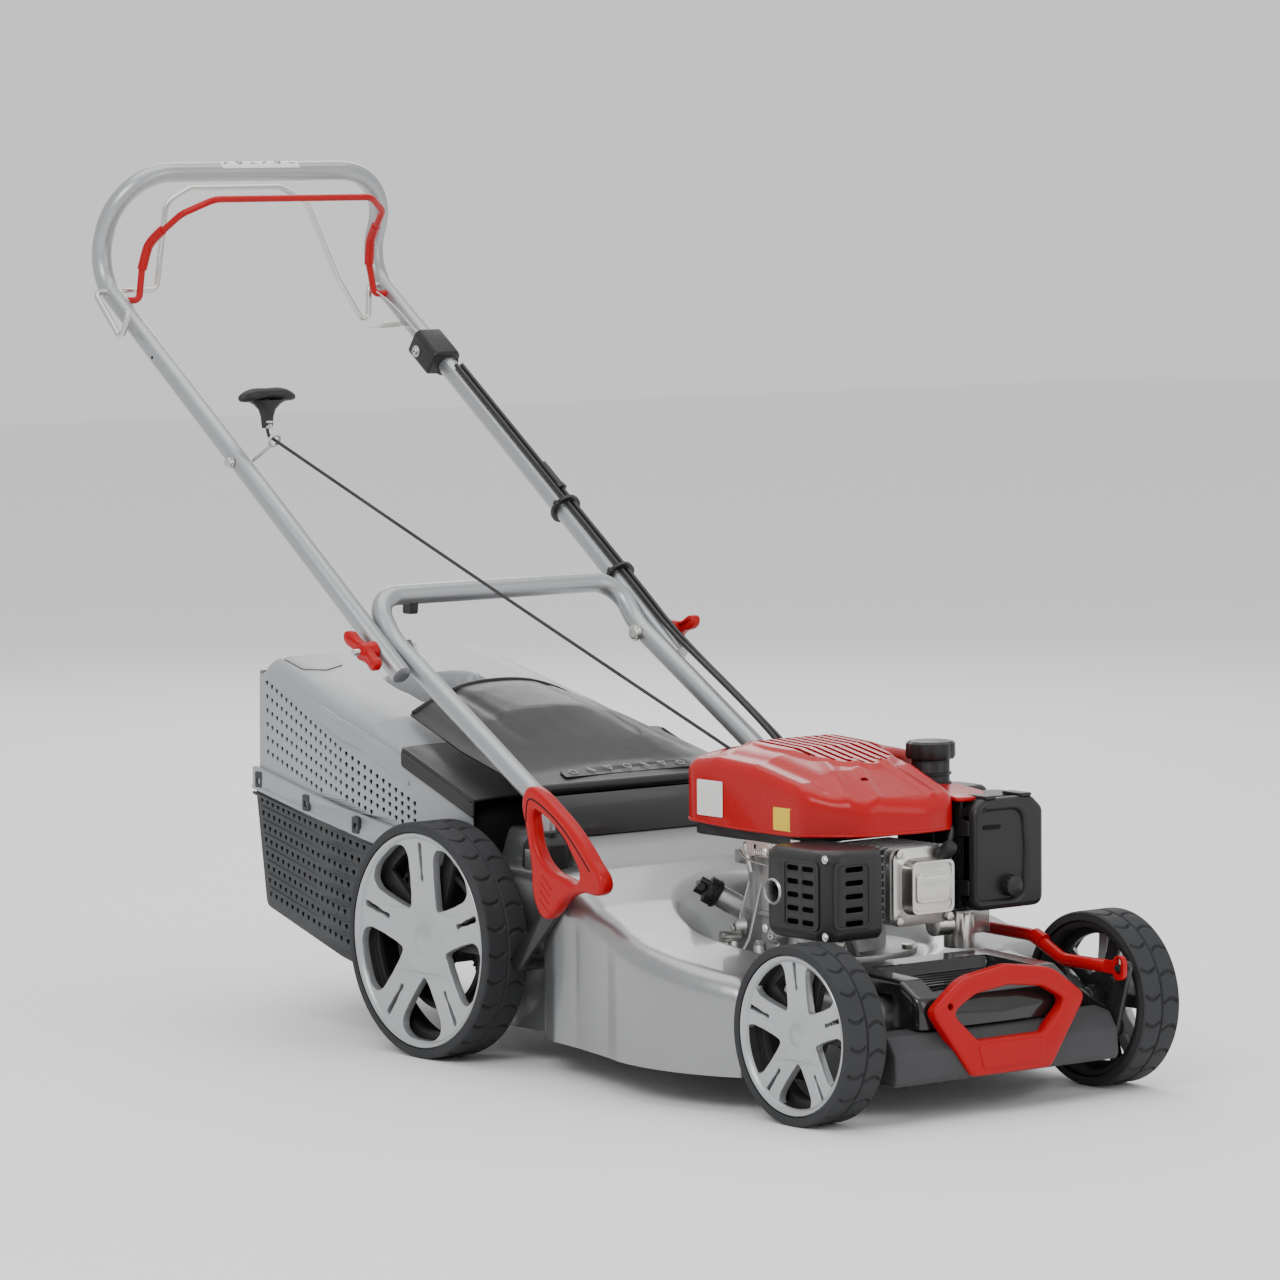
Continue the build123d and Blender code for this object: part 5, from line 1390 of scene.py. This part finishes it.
for s in SIDES:
    plug_end = lathe(
        f"handle_end_plug_{s + 1}", [(0, 3), (9, 3), (12, 1.4), (12.5, 0), (12.5, -2)],
        at(-98, s * UPPER_Y, tube_z(-98)), (1, 0, -SLOPE), 32
    )
    finish(plug_end, "upper_handle_body", "tube_steel")
    foot = lathe(
        f"lower_handle_ferrule_{s + 1}", [(13, 0), (15.5, 1), (15.5, 24), (13, 26)],
        at(149, s * LOWER_Y, 252), (0, 0, 1), 32
    )
    finish(foot, "chassis", "black_plastic")
    socket = plate(
        f"handle_socket_cover_{s + 1}",
        [rounded([(122, 232), (176, 232), (172, 262), (160, 274), (138, 274), (126, 262)], [5])], 34, 5,
        across(s * LOWER_Y)
    )
    bore = lathe(
        "socket_tool", [(0, -60), (12.9, -60), (12.9, 60), (0, 60)], at(149, s * LOWER_Y, 255), (0, 0, 1),
        24
    )
    finish(cut(socket, bore), "chassis", "black_plastic")
finish(
    hexagon("guide_bolt_head", at(-433, -UPPER_Y - TUBE_R - 0.4, tube_z(-433)), (0, -1, 0), 5.4, 4.2, 7.4),
    "upper_handle_body", "zinc"
)
hook = plate(
    "cross_bar_tab", [rounded([(-203, 508), (-186, 508), (-184, 524), (-202, 524)], [3])], 12, 1.5,
    across(-128)
)
finish(hook, "chassis", "black_plastic")
bar_label = from_grid(
    "top_bar_label",
    [
        [at(-698 + 12.9 * math.sin(a), y, 1042 + 12.9 * math.cos(a)) for y in np.linspace(-60, 60, 13)]
        for a in np.linspace(-0.6, 1.2, 12)
    ]
)
finish(thick(bar_label, 0.0003, 1), "upper_handle_body", "tube_steel", EXTRA["label"])
bar_marks = []
for k in range(6):
    y = -50 + 20 * k
    bar_marks.append(
        plate(
            "mark",
            (
                [slot_loop(0, y, 11, 2.6, 0.9)], [ring_dots((0, y), 4.6, 18), ring_dots((0, y), 3.0, 18)],
                [[(-4, y - 5), (5, y), (-4, y + 5)]]
            )[k % 3],
            0.5, 0.1,
            lambda u, v, w: at(
                -698 + (13.3 + w) * math.sin(0.35 - u / 13), v, 1042 + (13.3 + w) * math.cos(0.35 - u / 13)
            )
        )
    )
finish(joined("top_bar_label_marks", bar_marks), "upper_handle_body", "tube_steel", EXTRA["label_grey"])

# wing nuts at the fold bolts
for tag, s in (("right", -1), ("left", 1)):
    body = f"{tag}_knob"
    hub = lathe(
        f"{tag}_wing_hub", [(0, 22), (7, 22), (10, 20), (11, 12), (12.4, 2), (12.4, 0)],
        at(BOLT_X, s * (UPPER_Y + TUBE_R + 0.7), BOLT_Z), (0, s, 0), 32
    )
    blade_loop = [
        (-31, 7), (-33, 1), (-28, -6), (-14, -7), (0, -10), (14, -7), (28, -6), (33, 1), (31, 7), (14, 6),
        (0, 9), (-14, 6)
    ]
    tilt = math.radians(-30 if s < 0 else 20)

    def spread(u, v, w, s=s, tilt=tilt):
        a, b = u * math.cos(tilt) - v * math.sin(tilt), u * math.sin(tilt) + v * math.cos(tilt)
        return at(BOLT_X + a * 1.1, s * (UPPER_Y + TUBE_R + 13 + w + 0.005 * u * u), BOLT_Z + b * 1.1)

    wings = plate(f"{tag}_wing_blade", [blade_loop], 13, 3.4, spread, smooth_loops=(0,))
    knob = joined(f"{tag}_wing_nut", [hub, wings])
    finish(knob, body, "red_plastic", smooth=40)
    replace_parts(knob, f"{tag}_wing_knob")
    finish(
        hexagon(f"{tag}_fold_bolt_head", at(BOLT_X, s * 173.4, BOLT_Z), (0, -s, 0), 8.4, 5.6, 11),
        "chassis", "zinc"
    )

# red sleeve thickening on the stop bail's arms
for s in SIDES:
    arm = [
        at(x, s * y, z)
        for x, z, y in ((-699, 920, 176.6), (-694, 938, 174.4), (-688, 955, 172), (-667, 970, 165.5))
    ]
    sleeve = cord_curve(f"stop_bail_pad_{s + 1}", arm, 0.0062)
    finish(sleeve, "stop_bail_body", "red_wire")

# cable clamp on the left tube
clamp_mid = at(-598, UPPER_Y, tube_z(-598))
run = Vector((-1, 0, SLOPE)).normalized()
up = Vector((SLOPE, 0, 1)).normalized()


def on_tube(u, v, w):
    """u across the tube, v square to it, w along it from the clamp's middle."""
    return clamp_mid + (Vector((0, 1, 0)) * u + up * v + run * w) * MM


shell = plate(
    "cable_clamp_body",
    [
        rounded([(-28, -15), (16, -15), (16, 14), (10, 21), (-22, 21), (-28, 15)], [6]),
        ring_dots((0, 0), TUBE_R + 0.2, 32)
    ],
    52, 3.5, on_tube
)
finish(shell, "upper_handle_body", "black_plastic", smooth=30)
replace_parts(shell, "cable_bracket")
for k, w in enumerate((-18, 18)):
    finish(
        lathe(
            f"cable_clamp_band_{k}", [(13, -4), (17, -4), (17, 4), (13, 4)], clamp_mid + run * w * MM * 1.2,
            run, 32
        ),
        "upper_handle_body", "black_plastic"
    )
finish(
    hexagon("cable_clamp_bolt", on_tube(-28, -2, 8), (0, -1, 0), 5.2, 4.4, 7.6), "upper_handle_body", "zinc"
)

LIFT = 16.1 / math.hypot(SLOPE, 1)


def over_tube(x, y):
    return at(x + SLOPE * LIFT, y, tube_z(x) + LIFT)


stop_route = [
    over_tube(-560, 207), over_tube(-380, 207.5), over_tube(-190, 208), over_tube(-128, 206), at(
        -52, 198, 448
    ), at(15, 193, 415),
    at(78, 191, 380), at(
        135, 187, 346
    ), at(180, 176, 316), at(230, 156, 304), at(290, 142, 306), at(345, 137, 312),
]
drive_route = [
    over_tube(-560, 216), over_tube(-380, 216.5), over_tube(-190, 217), over_tube(-128, 214.5), at(
        -52, 208, 445
    ), at(15, 202, 412),
    at(78, 200, 377), at(135, 201, 341), at(172, 200, 302), at(185, 196, 266), at(186, 190, 237),
]
for name, route in (("stop_cable", stop_route), ("drive_cable", drive_route)):
    sheath = cord_curve(f"{name}_sheath", route, 0.003)
    sheath.data.materials.clear()
    sheath.data.materials.append(LOOKS["cable_sheath"])
    sheath.data.shade_smooth()
    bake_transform(sheath)
    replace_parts(sheath, name)
for name, spot, length, thick in (("cable_adjuster", -372, 46, 5.4), ("cable_adjuster_nut", -352, 8, 7.2)):
    sleeve = lathe(
        name, [(3, -length / 2), (thick, -length / 2 + 1), (thick, length / 2 - 1), (3, length / 2)],
        over_tube(spot, 216.5), run, 6 if "nut" in name else 24
    )
    finish(sleeve, "upper_handle_body", "cable_sheath")
for k, x in enumerate((-330, -220)):
    tie = lathe(
        f"cable_tie_{k}", [(14, -2.2), (20.6, -2.2), (20.6, 2.2), (14, 2.2)],
        at(x, UPPER_Y, tube_z(x)) + up * 0.0035, run, 40
    )
    finish(tie, "upper_handle_body", "black_plastic")
    lock = plate(
        f"cable_tie_lock_{k}", [rounded([(-4, -3), (4, -3), (4, 3), (-4, 3)], [1])], 5, 0.8,
        lambda u, v, w, x=x: at(x, UPPER_Y - 18, tube_z(x)) + (
            Vector((0, 1, 0)) * w + run * u + up * (v + 12)
        ) * MM
    )
    finish(lock, "upper_handle_body", "black_plastic")
low_tie = lathe(
    "cable_tie_low", [(13, -2.4), (19, -2.4), (19, 2.4), (13, 2.4)], at(112, LOWER_Y, 329), (0.87, 0, -0.5),
    40
)
finish(low_tie, "chassis", "black_plastic")
# thin wires from the bails into the clamp
wires = {
    "stop_bail_wire": [at(-690, 182, 884), at(-668, 187, 872), at(-640, 192, 850), on_tube(-20, 12, 22)],
    "drive_bail_wire": [at(-712, 186, 836), at(-690, 192, 838), at(-650, 198, 842), on_tube(-12, 15, 24)],
}
for name, route in wires.items():
    finish(cord_curve(name, route, 0.0009), "upper_handle_body", "zinc")
finish(
    spring("drive_bail_spring", at(-700, 188, 838), at(-650, 198, 843), 0.003, 0.0006, 14),
    "upper_handle_body", "zinc"
)

# ---------------------------------------------------------------- starter
GRIP_LOW, GRIP_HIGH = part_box("starter_grip")
gx, gy = (GRIP_LOW.x + GRIP_HIGH.x) / 2, (GRIP_LOW.y + GRIP_HIGH.y) / 2
foot_z = GRIP_LOW.z
grid = []
for t, width, depth in (
    (0, 7, 6), (0.1, 7.6, 6.6), (0.28, 8.6, 7.2), (0.45, 12, 8), (0.58, 20, 9), (0.68, 32, 9.6)
):
    row = []
    for k in range(32):
        a = 2 * math.pi * k / 32
        row.append(
            Vector((gx + depth * MM * math.cos(a), gy + width * MM * math.sin(a), foot_z + t * 0.051))
        )
    grid.append(row)
stem = from_grid("stem", grid, closed_u=True)
grid = []
for k in range(33):
    v = -1 + k / 16
    thick = math.sqrt(max(0.0, 1 - abs(v) ** 5)) * (8.6 - 1.4 * math.cos(v * math.pi * 2) * 0.5)
    droop = 5.5 * v * v
    row = []
    for j in range(24):
        a = 2 * math.pi * j / 24
        row.append(
            Vector(
                (
                    gx + 1.08 * thick * MM * math.cos(a), gy + 0.0425 * v,
                    foot_z + (0.0425 - droop * MM) + 0.92 * thick * MM * math.sin(a)
                )
            )
        )
    grid.append(row)
grip = joined("starter_t_grip", [stem, from_grid("bar", grid, closed_u=True)])
finish(grip, "starter", "black_plastic", smooth=60)
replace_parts(grip, "starter_grip")
ferrule = lathe(
    "starter_ferrule", [(2.4, -0.6), (5.6, -0.6), (6.6, 1), (6.6, 6), (7.2, 7), (7.2, 9), (3, 9)],
    Vector((gx, gy, foot_z)), (0, 0, 1), 32
)
finish(ferrule, "starter", "zinc")
ROPE_R = 0.002
guide = at(-416, -179.6, 718)
notch_point = at(358, -72.4, 378.7)
rope_long = cord_curve(
    "starter_rope_long",
    [guide] + [
        guide.lerp(notch_point, t) - Vector((0, 0, 0.0016 * math.sin(math.pi * t)))
        for t in (0.04, 0.25, 0.5, 0.75, 0.96)
    ] + [notch_point],
    ROPE_R
)
rope_long.data.materials.clear()
rope_long.data.materials.append(LOOKS["rope"])
rope_long.data.shade_smooth()
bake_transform(rope_long)
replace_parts(rope_long, "starter_rope")
rope_short = cord_curve(
    "starter_rope_short", [at(-419, -180, 727.6), at(-418.6, -180, 723), at(-416, -179.6, 718)], ROPE_R
)
rope_short.data.materials.clear()
rope_short.data.materials.append(LOOKS["rope"])
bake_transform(rope_short)

# ---------------------------------------------------------------- labels (blank) and small trim
for name, u0, u1, v0, v1, look in (
    ("engine_label_white", 355, 401, 309, 350, "label"),
    ("engine_label_yellow", 492, 537, 303, 329, "label_yellow")
):
    sticker = plate(
        name, [rounded([(u0, v0), (u1, v0), (u1, v1), (u0, v1)], [2])], 0.5, 0.12,
        lambda u, v, w: at(u, -123.4 + 0.0022 * max(0, u - 522) ** 2 - w, v)
    )
    finish(sticker, "chassis", "red_enamel", EXTRA[look])
link_boot = cord_curve("height_link_collar", [at(612, 163, 170), at(628, 163, 164)], 0.0092)
finish(link_boot, "link", "red_enamel")

# ---------------------------------------------------------------- CAD pieces that stay: their finishes
for name, node in NODES.items():
    node.data.materials.clear()
    node.data.materials.append(
        EXTRA["crank_black"] if name in ("rear_axle", "front_axle") else LOOKS[SLOT_OF[name]]
    )
    node.data.shade_smooth()
    weld = node.modifiers.new("weld", "WELD")
    weld.merge_threshold = 0.00002
    edge = node.modifiers.new("edge", "BEVEL")
    edge.limit_method = "ANGLE"
    edge.angle_limit = math.radians(38)
    edge.width = 0.0006
    edge.segments = 2
    edge.harden_normals = True

floor = from_grid("floor", [[(x, y, 0) for x in (-14, 14)] for y in (-14, 14)])
paper = material("paper_floor", (0.92, 0.92, 0.92), 0.85, 0, 0, 0.01, 300, 0.00001)
floor.data.materials.append(paper)
